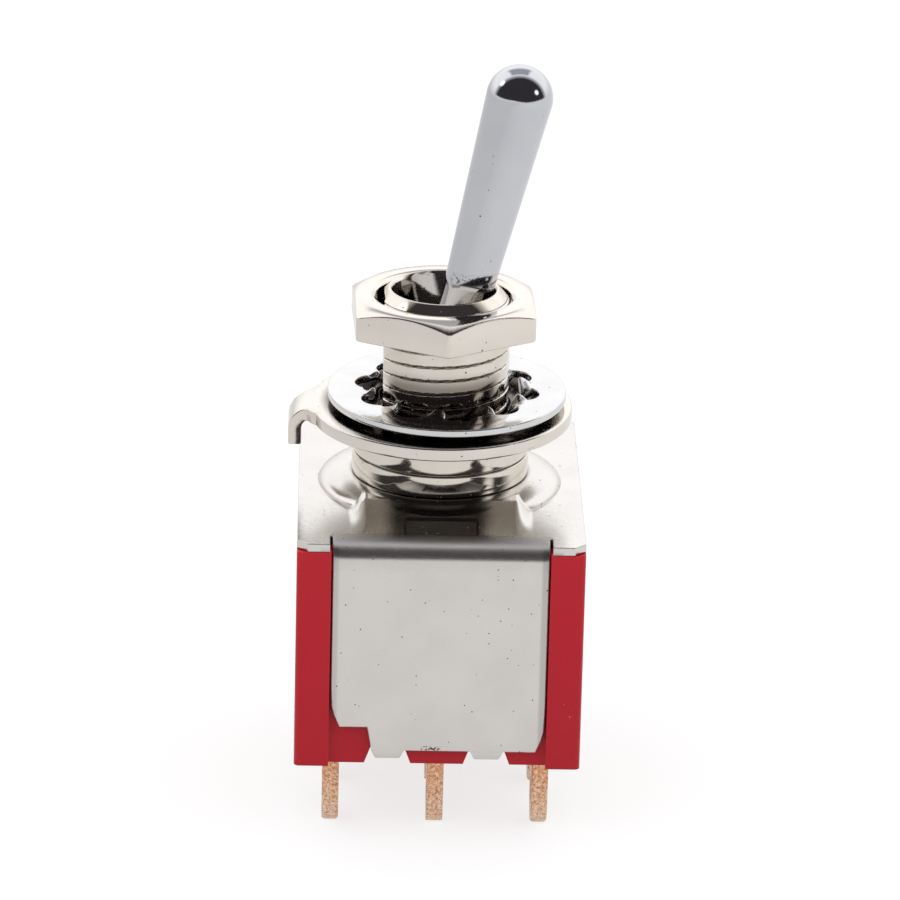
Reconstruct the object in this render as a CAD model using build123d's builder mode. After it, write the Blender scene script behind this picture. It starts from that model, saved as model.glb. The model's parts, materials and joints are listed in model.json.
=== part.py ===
from build123d import *
from math import cos, radians, sin, sqrt, tan
import os

# A miniature three-pole toggle switch, in millimetres and degrees.
#
# The origin is on the bushing's axis, on the shoulder that seats against a panel.
# +Z runs out along the bushing. The lever tilts from side to side along X, and the
# three poles stand one behind the other along Y. The lever rests on its +X side.

# ---- Driving sizes ---------------------------------------------------------------

# Bushing
thread_diameter = 6.0
bushing_height = 6.1            # shoulder to mouth
mouth_radius = 2.32
pilot_radius = 2.63             # plain lip above the thread
pilot_height = 0.45
shoulder_radius = 3.97
shoulder_height = 2.5
keyway_flat = 2.65              # flat along the thread, from the axis
neck_radius = 3.4               # where the bushing passes through the frame
rim_radius = 3.8                # staked rim under the frame
rim_height = 0.4

# Lever
throw_angle = 13.0              # to each side of upright
pivot_height = 1.4
lever_reach = 15.4              # pivot to the end of the dome
lever_tip_radius = 1.49
lever_root_radius = 0.99
ball_radius = 1.95
ball_clearance = 0.05
ball_foot_drop = 0.7            # the ball is cut flat this far below its centre
tail_length = 6.2               # pivot to the centre of the tail's ball
tail_neck_radius = 0.55
tail_ball_radius = 0.75
tail_foot_drop = 0.45           # and the tail's ball this far below its own
pin_radius = 0.4
pin_length = 4.6
pin_seat_clearance = 0.01
pin_running_clearance = 0.03
lower_bore_clearance = 0.1      # around the ball, below its seat
throat_clearance = 0.5          # around the lever's root, where the bore is narrowest

# Nut, lock washer and locating ring
nut_across_flats = 8.0
nut_sides = 6
nut_thickness = 1.55
nut_height = 4.3                # its seat above the shoulder
nut_turn = 1.1                  # degrees, from a corner squarely at the front
nut_chamfer_radius = 3.85
nut_chamfer_angle = 30.0
thread_clearance = 0.05
washer_radius = 5.35
washer_thickness = 0.35
washer_shift = 0.12             # how far it lies off the axis
washer_turn = -10.0             # degrees, to the first gullet
tooth_count = 10
tooth_width = 1.35
tooth_twist = 38.0
tooth_tip_radius = 3.25
tooth_gullet_radius = 0.47
gullet_circle_radius = 4.0
washer_band_inner_radius = 4.1
washer_seat_gap = 0.02
ring_radius = 5.87
ring_thickness = 0.6
ring_bore_clearance = 0.1
ring_tab_width = 2.3
ring_tab_reach = 6.85           # axis to the tab's outer face
ring_tab_drop = 1.2             # below the shoulder
ring_tab_bend = 1.0
ring_relief_radius = 0.25

# Frame
sheet = 0.4
boss_height = 0.55
boss_radius = 5.45
boss_flat_radius = 4.05
boss_sweep = 2.3                # radius of its rounded flank
boss_corner = 0.45              # left in the hollow under the flank
saddle_width = 7.3
saddle_end = 7.5                # where the saddle runs out, from the axis
saddle_draft = 0.25
saddle_sweep = 16.0             # radius that it falls in, to its ends
plate_chamfer = 0.5
flange_width = 9.54
flange_setback = 0.06           # flange face behind the ribs' faces
bend_radius = 0.8
relief_width = 0.3
relief_depth = 1.0
window_width = 3.3              # shallow stamped window at each end of the saddle
window_start = 5.85
window_end = 7.3
window_depth = 0.06             # below the plate
frame_hole_clearance = 0.05
flange_lift = 0.76              # flange's edge above the base's underside
flange_step_height = 1.1
flange_step_width = 1.65
flange_step_slope = 0.2
flange_chamfer_width = 0.42
flange_chamfer_height = 0.9
tab_spacing = 4.4
tab_root_width = 1.45
tab_tip_width = 0.97
tab_length = 1.5

# Base
base_height = 10.15
base_corner = 0.25
rib_clearance = 0.05
side_wall = 1.1
side_gap = 0.175                # between a side wall and the outer terminals
end_wall = 1.0
end_gap = 0.49                  # between an end wall and the outer rockers
chamber_corner = 0.3
floor_thickness = 2.6
barrier_thickness = 0.8
barrier_gap = 0.25              # under the carriage
crimp_notch_root = 1.5
crimp_notch_mouth = 2.06
crimp_notch_depth = 2.0

# Poles and terminals
pole_pitch = 4.7
throw_pitch = 4.7
lug_thickness = 0.75
lug_width = 2.0
lug_length = 4.04               # below the base
wire_hole_radius = 0.6
wire_hole_height = 1.55         # above the lug's end
fork_width = 3.3
fork_prong_width = 0.4
fork_prong_height = 0.75
fork_base_height = 0.7
ridge_height = 1.35             # rocker's ridge above the floor
contact_gap = 0.03

# Carriage, plungers, springs and rockers
carriage_width = 4.4
carriage_lift = 1.25            # its underside above the rockers' ridges
carriage_running_gap = 0.05     # under the frame
carriage_end_gap = 0.09
carriage_slab = 0.9
carriage_boss_width = 3.0
carriage_rib = 1.0
carriage_rib_height = 3.5
tail_pocket_clearance = 0.03
tail_pocket_depth = 2.15
tail_pocket_flare = 0.3
tail_pocket_mouth = 0.95        # depth of the flare
tail_pocket_length = 2.0
tail_pocket_wall = 0.9
tail_pocket_web = 0.35          # left between the pocket and the middle bore
plunger_radius = 0.85
plunger_clearance = 0.05
plunger_share = 0.6             # of the height between the rocker and the bore's end
plunger_nose_width = 0.6         # a square nose that rides on the rocker
plunger_nose_height = 0.5
spring_turns = 3
spring_wire = 0.2
spring_wire_sides = 4           # a plain square wire, in straight lengths
coil_facets = 9                 # lengths in a turn
spring_radius = 0.58
spring_seat_gap = 0.02
rocker_thickness = 0.3
rocker_half_length = 5.0
rocker_width = 3.3
prong_clearance = 0.15
rocker_angle = 8.0              # to each side of level
rocker_dish = 6.0               # how far its arms rise outwards
rocker_pivot_gap = 0.02
plunger_tip_gap = 0.06          # over the rocker's middle

# ---- Sizes that follow -----------------------------------------------------------

thread_radius = thread_diameter / 2
boss_top = -shoulder_height
plate_top = boss_top - boss_height
plate_bottom = plate_top - sheet
base_bottom = plate_bottom - base_height
lug_bottom = base_bottom - lug_length
floor_top = base_bottom + floor_thickness
recess_depth = flange_setback + sheet
body_width = 2 * (throw_pitch + lug_thickness / 2 + side_gap + side_wall)
body_depth = 2 * (pole_pitch + rocker_width / 2 + end_gap + end_wall + recess_depth)
flange_face = body_depth / 2 - flange_setback
recess_width = flange_width + 2 * rib_clearance
chamber_width = body_width - 2 * side_wall
chamber_depth = body_depth - 2 * (recess_depth + end_wall)
ridge_top = floor_top + ridge_height
carriage_top = plate_bottom - carriage_running_gap
carriage_bottom = ridge_top + carriage_lift
carriage_shift = -tail_length * sin(radians(throw_angle))
rocker_pivot = ridge_top + rocker_pivot_gap
rest_slope = radians(rocker_angle - rocker_dish)
contact_height = rocker_pivot - throw_pitch * tan(rest_slope) - contact_gap
plunger_tip = rocker_pivot + rocker_thickness / cos(radians(rocker_dish)) + plunger_tip_gap
spring_ceiling = carriage_top - tail_pocket_depth - tail_pocket_web
plunger_length = plunger_share * (spring_ceiling - plunger_tip)
plunger_top = plunger_tip + plunger_length
pocket_half = tail_ball_radius + tail_pocket_clearance
poles = {"front": -pole_pitch, "middle": 0.0, "rear": pole_pitch}

os.makedirs("parts", exist_ok=True)


def tilted(height, angle, y=0.0):
    """An XZ plane through the axis at a height, turned about Y towards +X."""
    turn = radians(angle)
    return Plane(origin=(0, y, height), x_dir=(cos(turn), 0, -sin(turn)), z_dir=(0, -1, 0))


# ---- Base: moulded housing with a chamber for three poles ------------------------

with BuildPart() as base_housing:
    with BuildSketch(Plane.XY.offset(base_bottom)):
        Rectangle(body_width, body_depth)
        fillet(vertices(), base_corner)
        with GridLocations(0, body_depth, 1, 2):
            Rectangle(recess_width, 2 * recess_depth, mode=Mode.SUBTRACT)
    extrude(amount=base_height)
    # The recesses' upper edges are rounded to suit the frame's folds.
    top_edges = edges().filter_by(Axis.X).group_by(Axis.Z)[-1].group_by(Axis.Y)
    fillet(top_edges[1] + top_edges[-2], bend_radius - sheet)
    with BuildSketch(Plane.XY.offset(floor_top)):
        Rectangle(chamber_width, chamber_depth)
        fillet(vertices(), chamber_corner)
    extrude(amount=base_height, mode=Mode.SUBTRACT)
    # Barriers between the poles stop just short of the carriage.
    with BuildSketch(Plane.XY.offset(floor_top)):
        with GridLocations(0, pole_pitch, 1, 2):
            Rectangle(chamber_width, barrier_thickness)
    extrude(amount=carriage_bottom - barrier_gap - floor_top)
    # Slots that the nine lugs stand in.
    with BuildSketch(Plane.XY.offset(base_bottom)):
        with GridLocations(throw_pitch, pole_pitch, 3, 3):
            Rectangle(lug_thickness, lug_width)
    extrude(amount=floor_thickness, mode=Mode.SUBTRACT)
    # Notches that the frame's crimp tabs fold into, at both ends.
    for side in (-1, 1):
        with BuildSketch(Plane.XZ.offset(side * body_depth / 2)):
            with Locations((-tab_spacing / 2, base_bottom), (tab_spacing / 2, base_bottom)):
                Polygon(
                    (-crimp_notch_mouth / 2, 0),
                    (crimp_notch_mouth / 2, 0),
                    (crimp_notch_root / 2, flange_lift),
                    (-crimp_notch_root / 2, flange_lift),
                    align=None,
                )
        extrude(amount=-side * (recess_depth + crimp_notch_depth), mode=Mode.SUBTRACT)

base_housing.part.label = "base_housing"
export_step(base_housing.part, "parts/base_housing.step")

# ---- Frame: one stamped and folded sheet -----------------------------------------

flange_edge = base_bottom + flange_lift
tab_foot = flange_edge - sheet

# The saddle and boss that the plate is pressed up into, around the bushing.
with BuildPart() as embossing:
    # The saddle runs down from the boss to both ends.
    with BuildSketch(Plane.YZ):
        with BuildLine():
            Polyline(
                (boss_flat_radius, boss_top),
                (0, boss_top),
                (0, plate_bottom),
                (saddle_end, plate_bottom),
                (saddle_end, plate_top),
            )
            RadiusArc((saddle_end, plate_top), (boss_flat_radius, boss_top), saddle_sweep)
        make_face()
        mirror(about=Plane.YZ)
    extrude(amount=saddle_width / 2, both=True)
    with BuildSketch(Plane.XZ):
        with Locations((0, plate_bottom)):
            Polygon(
                (-saddle_width / 2, 0),
                (saddle_width / 2, 0),
                (saddle_width / 2 - saddle_draft, boss_height + sheet),
                (-saddle_width / 2 + saddle_draft, boss_height + sheet),
                align=None,
            )
    extrude(amount=body_depth / 2, both=True, mode=Mode.INTERSECT)
    with BuildSketch(Plane.XZ):
        with BuildLine():
            Polyline(
                (boss_flat_radius, boss_top),
                (0, boss_top),
                (0, plate_bottom),
                (boss_radius, plate_bottom),
                (boss_radius, plate_top),
            )
            RadiusArc((boss_flat_radius, boss_top), (boss_radius, plate_top), boss_sweep)
        make_face()
    revolve(axis=Axis.Z)

# What the punch leaves open under them.
with BuildPart() as punched_hollow:
    with BuildSketch(Plane.YZ):
        Polygon(
            (-saddle_end + sheet, plate_bottom),
            (saddle_end - sheet, plate_bottom),
            (boss_flat_radius, boss_top - sheet),
            (-boss_flat_radius, boss_top - sheet),
            align=None,
        )
    extrude(amount=saddle_width / 2 - sheet, both=True)
    with BuildSketch(Plane.XY.offset(plate_bottom)):
        Circle(boss_radius - sheet - boss_corner)
    extrude(amount=boss_height)

# Crimp tabs, folded in under the base and narrowing to their ends.
with BuildPart() as crimp_tabs:
    for side in (-1, 1):
        with BuildSketch(Plane.YZ):
            with BuildLine():
                RadiusArc(
                    (side * flange_face, flange_edge),
                    (side * (flange_face - sheet), tab_foot),
                    side * sheet,
                )
                Polyline(
                    (side * (flange_face - sheet), tab_foot),
                    (side * (flange_face - tab_length), tab_foot),
                    (side * (flange_face - tab_length), flange_edge),
                    (side * flange_face, flange_edge),
                )
            make_face()
        extrude(amount=body_width / 2, both=True)
    with BuildSketch(Plane.XZ):
        with Locations((-tab_spacing / 2, tab_foot), (tab_spacing / 2, tab_foot)):
            Polygon(
                (-tab_tip_width / 2, 0),
                (tab_tip_width / 2, 0),
                (tab_root_width / 2, sheet),
                (-tab_root_width / 2, sheet),
                align=None,
            )
    extrude(amount=body_depth, both=True, mode=Mode.INTERSECT)

with BuildPart() as mounting_frame:
    # The plate, open where the flanges fold down.
    with BuildSketch(Plane.XY.offset(plate_bottom)):
        Rectangle(body_width, body_depth)
        chamfer(vertices(), plate_chamfer)
        with GridLocations(0, body_depth, 1, 2):
            Rectangle(flange_width + 2 * relief_width, 2 * relief_depth, mode=Mode.SUBTRACT)
    extrude(amount=sheet)
    # The middle strip, folded down at both ends.
    with BuildSketch(Plane.YZ):
        with BuildLine():
            FilletPolyline(
                (-flange_face, flange_edge),
                (-flange_face, plate_top),
                (flange_face, plate_top),
                (flange_face, flange_edge),
                radius=bend_radius,
            )
            Line((flange_face, flange_edge), (flange_face - sheet, flange_edge))
            FilletPolyline(
                (flange_face - sheet, flange_edge),
                (flange_face - sheet, plate_bottom),
                (-flange_face + sheet, plate_bottom),
                (-flange_face + sheet, flange_edge),
                radius=bend_radius - sheet,
            )
            Line((-flange_face + sheet, flange_edge), (-flange_face, flange_edge))
        make_face()
    extrude(amount=flange_width / 2, both=True)
    add(embossing.part)
    add(punched_hollow.part, mode=Mode.SUBTRACT)
    with BuildSketch(Plane.XY.offset(plate_bottom)):
        Circle(neck_radius + frame_hole_clearance)
    extrude(amount=sheet + boss_height, mode=Mode.SUBTRACT)
    # A shallow window at each end of the saddle, its inner edge round the bushing.
    with BuildSketch(Plane.XY.offset(plate_top - window_depth)):
        Rectangle(window_width, 2 * window_end)
        Circle(window_start, mode=Mode.SUBTRACT)
    extrude(amount=boss_height + window_depth, mode=Mode.SUBTRACT)
    # Each flange's lower corners: one stepped up, the other only chamfered.
    for side in (-1, 1):
        with BuildSketch(Plane.XZ.offset(-side * body_depth / 2)):
            with Locations((side * flange_width / 2, flange_edge)):
                Polygon(
                    (0, 0),
                    (0, flange_step_height + flange_chamfer_height),
                    (-side * flange_chamfer_width, flange_step_height),
                    (-side * flange_step_width, flange_step_height),
                    (-side * (flange_step_width + flange_step_slope), 0),
                    align=None,
                )
            with Locations((-side * flange_width / 2, flange_edge)):
                Polygon(
                    (0, 0),
                    (0, flange_chamfer_height),
                    (side * flange_chamfer_width, 0),
                    align=None,
                )
        extrude(amount=side * (flange_setback + 2 * sheet), mode=Mode.SUBTRACT)
    add(crimp_tabs.part)

mounting_frame.part.label = "mounting_frame"
export_step(mounting_frame.part, "parts/mounting_frame.step")

# ---- Bushing ---------------------------------------------------------------------

# The ball seats under a cone at 45 degrees; above it the bore flares out to the mouth.
lower_bore_radius = ball_radius + lower_bore_clearance
throat_radius = lever_root_radius + throat_clearance
seat_sum = pivot_height + (ball_radius + ball_clearance) * sqrt(2)
with BuildPart() as bushing:
    with BuildSketch(Plane.XZ):
        with BuildLine():
            Polyline(
                (lower_bore_radius, boss_top - sheet - rim_height),
                (rim_radius, boss_top - sheet - rim_height),
                (rim_radius, boss_top - sheet),
                (neck_radius, boss_top - sheet),
                (neck_radius, boss_top),
                (shoulder_radius, boss_top),
                (shoulder_radius, 0),
                (thread_radius, 0),
                (thread_radius, bushing_height - pilot_height - thread_radius + pilot_radius),
                (pilot_radius, bushing_height - pilot_height),
                (pilot_radius, bushing_height),
                (mouth_radius, bushing_height),
                (throat_radius, seat_sum - throat_radius),
                (lower_bore_radius, seat_sum - lower_bore_radius),
                close=True,
            )
        make_face()
    revolve(axis=Axis.Z)
    # Flat that keys the ring and the panel.
    with BuildSketch(Plane.XY):
        with Locations((-keyway_flat, 0)):
            Rectangle(thread_radius, thread_diameter, align=(Align.MAX, Align.CENTER))
    extrude(amount=bushing_height, mode=Mode.SUBTRACT)
    # Slots that carry the lever's pin, open downwards.
    with BuildSketch(Plane.XZ):
        slot_bottom = boss_top - sheet - rim_height
        with Locations((0, pivot_height)):
            Circle(pin_radius + pin_running_clearance)
        with Locations((0, slot_bottom)):
            Rectangle(
                2 * (pin_radius + pin_running_clearance),
                pivot_height - slot_bottom,
                align=(Align.CENTER, Align.MIN),
            )
    extrude(amount=pin_length / 2 + pin_running_clearance, both=True, mode=Mode.SUBTRACT)

bushing.part.label = "bushing"
export_step(bushing.part, "parts/bushing.step")

# ---- Lever and its cross pin -----------------------------------------------------

lever_plane = tilted(pivot_height, throw_angle)
lever_axis = Axis(lever_plane.origin, lever_plane.y_dir)
barrel_top = lever_reach - lever_tip_radius
ball_top = sqrt(ball_radius**2 - lever_root_radius**2)
ball_foot_radius = sqrt(ball_radius**2 - ball_foot_drop**2)
tail_neck_top = -tail_length + sqrt(tail_ball_radius**2 - tail_neck_radius**2)
tail_foot_radius = sqrt(tail_ball_radius**2 - tail_foot_drop**2)
with BuildPart() as toggle_lever:
    with BuildSketch(lever_plane):
        with BuildLine():
            Polyline(
                (0, lever_reach),
                (0, -tail_length - tail_foot_drop),
                (tail_foot_radius, -tail_length - tail_foot_drop),
            )
            ThreePointArc(
                (tail_foot_radius, -tail_length - tail_foot_drop),
                (tail_ball_radius, -tail_length),
                (tail_neck_radius, tail_neck_top),
            )
            Polyline(
                (tail_neck_radius, tail_neck_top),
                (tail_neck_radius, -ball_foot_drop),
                (ball_foot_radius, -ball_foot_drop),
            )
            ThreePointArc(
                (ball_foot_radius, -ball_foot_drop),
                (ball_radius, 0),
                (lever_root_radius, ball_top),
            )
            Line((lever_root_radius, ball_top), (lever_tip_radius, barrel_top))
            RadiusArc((lever_tip_radius, barrel_top), (0, lever_reach), -lever_tip_radius)
        make_face()
    revolve(axis=lever_axis)
    with BuildSketch(lever_plane):
        Circle(pin_radius + pin_seat_clearance)
    extrude(amount=ball_radius, both=True, mode=Mode.SUBTRACT)

toggle_lever.part.label = "toggle_lever"
export_step(toggle_lever.part, "parts/toggle_lever.step")

with BuildPart() as lever_pin:
    with BuildSketch(lever_plane):
        Circle(pin_radius)
    extrude(amount=pin_length / 2, both=True)

lever_pin.part.label = "lever_pin"
export_step(lever_pin.part, "parts/lever_pin.step")

# ---- Hex nut ---------------------------------------------------------------------

nut_top = nut_height + nut_thickness
nut_half_side = 180 / nut_sides   # degrees, from a corner to the middle of a side
nut_corner_radius = nut_across_flats / 2 / cos(radians(nut_half_side))
nut_drop = (nut_corner_radius - nut_chamfer_radius) * tan(radians(nut_chamfer_angle))
with BuildPart() as hex_nut:
    with BuildSketch(Plane.XY.offset(nut_height)):
        RegularPolygon(
            nut_across_flats / 2,
            nut_sides,
            major_radius=False,
            rotation=nut_half_side + nut_turn,
        )
        Circle(thread_radius + thread_clearance, mode=Mode.SUBTRACT)
    extrude(amount=nut_thickness)
    with BuildSketch(Plane.XZ):
        with BuildLine():
            Polyline(
                (nut_chamfer_radius, nut_top),
                (nut_corner_radius, nut_top - nut_drop),
                (nut_corner_radius, nut_top),
                close=True,
            )
        make_face()
    revolve(axis=Axis.Z, mode=Mode.SUBTRACT)

hex_nut.part.label = "hex_nut"
export_step(hex_nut.part, "parts/hex_nut.step")

# ---- Internal-tooth lock washer --------------------------------------------------

tooth_reach = (
    tooth_width / 2 * sin(radians(tooth_twist))
    + washer_thickness / 2 * cos(radians(tooth_twist))
)
washer_middle = ring_thickness + washer_seat_gap + tooth_reach
washer_place = (washer_shift, 0, washer_middle)
tooth_root_radius = washer_band_inner_radius + tooth_gullet_radius / 2
tooth_turn = washer_turn + 180 / tooth_count
with BuildPart() as lock_washer:
    with BuildSketch(Plane(washer_place)):
        Circle(washer_radius)
        Circle(washer_band_inner_radius, mode=Mode.SUBTRACT)
        with PolarLocations(gullet_circle_radius, tooth_count, start_angle=washer_turn):
            Circle(tooth_gullet_radius, mode=Mode.SUBTRACT)
    extrude(amount=washer_thickness / 2, both=True)
    # Each tooth is twisted about its own radius.
    with Locations(washer_place):
        with PolarLocations(tooth_tip_radius, tooth_count, start_angle=tooth_turn):
            Box(
                tooth_root_radius - tooth_tip_radius,
                tooth_width,
                washer_thickness,
                rotation=(tooth_twist, 0, 0),
                align=(Align.MIN, Align.CENTER, Align.CENTER),
            )

lock_washer.part.label = "lock_washer"
export_step(lock_washer.part, "parts/lock_washer.step")

# ---- Keyed locating ring ---------------------------------------------------------

ring_bore_radius = thread_radius + ring_bore_clearance
with BuildSketch() as keyed_hole:
    Circle(ring_bore_radius)
    with Locations((-keyway_flat - ring_bore_clearance, 0)):
        Rectangle(
            ring_bore_radius,
            2 * ring_bore_radius,
            align=(Align.MAX, Align.CENTER),
            mode=Mode.SUBTRACT,
        )
with BuildPart() as locating_ring:
    with BuildSketch(Plane.XY):
        Circle(ring_radius)
        add(keyed_hole.sketch, mode=Mode.SUBTRACT)
    extrude(amount=ring_thickness)
    # The outer tab, bent down over the panel's locating hole.
    with BuildSketch(Plane.XZ):
        with BuildLine():
            FilletPolyline(
                (-ring_radius + ring_tab_bend, ring_thickness),
                (-ring_tab_reach, ring_thickness),
                (-ring_tab_reach, -ring_tab_drop),
                radius=ring_tab_bend,
            )
            Line(
                (-ring_tab_reach, -ring_tab_drop),
                (-ring_tab_reach + ring_thickness, -ring_tab_drop),
            )
            FilletPolyline(
                (-ring_tab_reach + ring_thickness, -ring_tab_drop),
                (-ring_tab_reach + ring_thickness, 0),
                (-ring_radius + ring_tab_bend, 0),
                radius=ring_tab_bend - ring_thickness,
            )
            Line((-ring_radius + ring_tab_bend, 0), (-ring_radius + ring_tab_bend, ring_thickness))
        make_face()
    extrude(amount=ring_tab_width / 2, both=True)
    # Small round reliefs at the tab's roots.
    relief_reach = sqrt(ring_radius**2 - (ring_tab_width / 2) ** 2)
    with BuildSketch(Plane.XY):
        with Locations((-relief_reach, 0)):
            with GridLocations(0, ring_tab_width, 1, 2):
                Circle(ring_relief_radius)
    extrude(amount=ring_thickness, mode=Mode.SUBTRACT)

locating_ring.part.label = "locating_ring"
export_step(locating_ring.part, "parts/locating_ring.step")

# ---- Terminals: nine lugs, moulded into the floor --------------------------------


def lug(x, y, top):
    """A flat lug with a round end and a wire hole, up to a height inside the chamber."""
    with BuildPart() as blade:
        with BuildSketch(Plane.YZ.offset(x - lug_thickness / 2)):
            with Locations((y, lug_bottom + lug_width / 2)):
                Circle(lug_width / 2)
                Rectangle(
                    lug_width,
                    top - lug_bottom - lug_width / 2,
                    align=(Align.CENTER, Align.MIN),
                )
            with Locations((y, lug_bottom + wire_hole_height)):
                Circle(wire_hole_radius, mode=Mode.SUBTRACT)
        extrude(amount=lug_thickness)
    return blade.part


for pole, y in poles.items():
    for throw, x in {"left": -throw_pitch, "right": throw_pitch}.items():
        with BuildPart() as throw_terminal:
            add(lug(x, y, contact_height))
        throw_terminal.part.label = f"{throw}_terminal_{pole}"
        export_step(throw_terminal.part, f"parts/{throw}_terminal_{pole}.step")

    # The common terminal carries the rocker on a ridge between two prongs.
    with BuildPart() as common_terminal:
        add(lug(0, y, ridge_top))
        with BuildSketch(Plane.YZ.offset(-lug_thickness / 2)):
            with Locations((y, ridge_top)):
                Rectangle(fork_width, fork_base_height, align=(Align.CENTER, Align.MAX))
                with GridLocations(fork_width - fork_prong_width, 0, 2, 1):
                    Rectangle(
                        fork_prong_width,
                        fork_prong_height,
                        align=(Align.CENTER, Align.MIN),
                    )
        extrude(amount=lug_thickness)
    common_terminal.part.label = f"common_terminal_{pole}"
    export_step(common_terminal.part, f"parts/common_terminal_{pole}.step")

# ---- Carriage: moulded slider that the lever's tail pushes -----------------------

with BuildPart() as actuator_carriage:
    with BuildSketch(Plane.XY.offset(carriage_top)):
        with Locations((carriage_shift, 0)):
            Rectangle(carriage_width, chamber_depth - 2 * carriage_end_gap)
    extrude(amount=-carriage_slab)
    # A square boss for each plunger, tied together by a rib.
    with BuildSketch(Plane.XY.offset(carriage_top)):
        with Locations((carriage_shift, 0)):
            with GridLocations(0, pole_pitch, 1, 3):
                Rectangle(carriage_boss_width, carriage_boss_width)
    extrude(amount=carriage_bottom - carriage_top)
    with BuildSketch(Plane.XY.offset(carriage_top)):
        with Locations((carriage_shift, 0)):
            Rectangle(carriage_rib, 2 * pole_pitch)
    extrude(amount=-carriage_rib_height)
    # The block round the tail's pocket.
    with BuildSketch(Plane.XY.offset(carriage_top)):
        with Locations((carriage_shift, 0)):
            Rectangle(carriage_width, tail_pocket_length + 2 * tail_pocket_wall)
    extrude(amount=-tail_pocket_depth)
    with BuildSketch(Plane.XZ):
        with Locations((carriage_shift, carriage_top)):
            Polygon(
                (-pocket_half - tail_pocket_flare, 0),
                (-pocket_half, -tail_pocket_mouth),
                (-pocket_half, -tail_pocket_depth),
                (pocket_half, -tail_pocket_depth),
                (pocket_half, -tail_pocket_mouth),
                (pocket_half + tail_pocket_flare, 0),
                align=None,
            )
    extrude(amount=tail_pocket_length / 2, both=True, mode=Mode.SUBTRACT)
    # Bores for the plungers and their springs.
    with BuildSketch(Plane.XY.offset(carriage_bottom)):
        with Locations((carriage_shift, 0)):
            with GridLocations(0, pole_pitch, 1, 3):
                Circle(plunger_radius + plunger_clearance)
    extrude(amount=spring_ceiling - carriage_bottom, mode=Mode.SUBTRACT)

actuator_carriage.part.label = "actuator_carriage"
export_step(actuator_carriage.part, "parts/actuator_carriage.step")

# ---- Plungers, springs and rockers, one of each for every pole -------------------

spring_foot = plunger_top + spring_seat_gap + spring_wire / 2
spring_head = spring_ceiling - spring_seat_gap - spring_wire / 2
coil_step = radians(360 / coil_facets)
coil_rise = (spring_head - spring_foot) / (spring_turns * coil_facets)
arm_rise = rocker_half_length * tan(radians(rocker_dish))
rocker_rise = rocker_thickness / cos(radians(rocker_dish))
for pole, y in poles.items():
    with BuildPart() as plunger:
        with BuildSketch(Plane.XY.offset(plunger_tip + plunger_nose_height)):
            with Locations((carriage_shift, y)):
                Circle(plunger_radius)
        extrude(amount=plunger_length - plunger_nose_height)
        with BuildSketch(Plane.XY.offset(plunger_tip)):
            with Locations((carriage_shift, y)):
                Rectangle(plunger_nose_width, plunger_nose_width)
        extrude(amount=plunger_nose_height)
    plunger.part.label = f"plunger_{pole}"
    export_step(plunger.part, f"parts/plunger_{pole}.step")

    with BuildPart() as spring:
        with BuildLine() as coil:
            Polyline(
                *[
                    (
                        carriage_shift + spring_radius * cos(step * coil_step),
                        y + spring_radius * sin(step * coil_step),
                        spring_foot + step * coil_rise,
                    )
                    for step in range(spring_turns * coil_facets + 1)
                ]
            )
        with BuildSketch(Plane(coil.line @ 0, z_dir=coil.line % 0)):
            RegularPolygon(spring_wire / 2, spring_wire_sides)
        sweep(transition=Transition.RIGHT)
    spring.part.label = f"spring_{pole}"
    export_step(spring.part, f"parts/spring_{pole}.step")

    with BuildPart() as rocker:
        with BuildSketch(tilted(rocker_pivot, -rocker_angle, y)):
            Polygon(
                (-rocker_half_length, arm_rise),
                (0, 0),
                (rocker_half_length, arm_rise),
                (rocker_half_length, arm_rise + rocker_rise),
                (0, rocker_rise),
                (-rocker_half_length, arm_rise + rocker_rise),
                align=None,
            )
        extrude(amount=rocker_width / 2, both=True)
        # Plan: a notch on each side for the terminal's prongs.
        with BuildSketch(Plane.XY.offset(rocker_pivot - rocker_half_length)):
            with Locations((0, y)):
                Rectangle(2 * rocker_half_length, rocker_width)
                with GridLocations(0, rocker_width, 1, 2):
                    Rectangle(
                        lug_thickness + 2 * prong_clearance,
                        2 * (fork_prong_width + prong_clearance),
                        mode=Mode.SUBTRACT,
                    )
        extrude(amount=2 * rocker_half_length, mode=Mode.INTERSECT)
    rocker.part.label = f"rocker_{pole}"
    export_step(rocker.part, f"parts/rocker_{pole}.step")
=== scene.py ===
"""Finished looks of a miniature three-pole toggle switch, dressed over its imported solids.

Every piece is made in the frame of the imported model, in metres. The origin lies on the
bushing's axis, in the plane of its shoulder. +Z runs out along the bushing, the lever
leans towards +X, and the front flange faces -Y. Sizes in the pieces' classes are in
millimetres, and those in the finishes are in metres where nothing else is said.
"""

import json
import logging
import math
from collections.abc import Sequence
from dataclasses import dataclass, field, fields
from enum import Enum

import bmesh
import bpy
import numpy as np
from mathutils import Matrix, Vector

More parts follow.
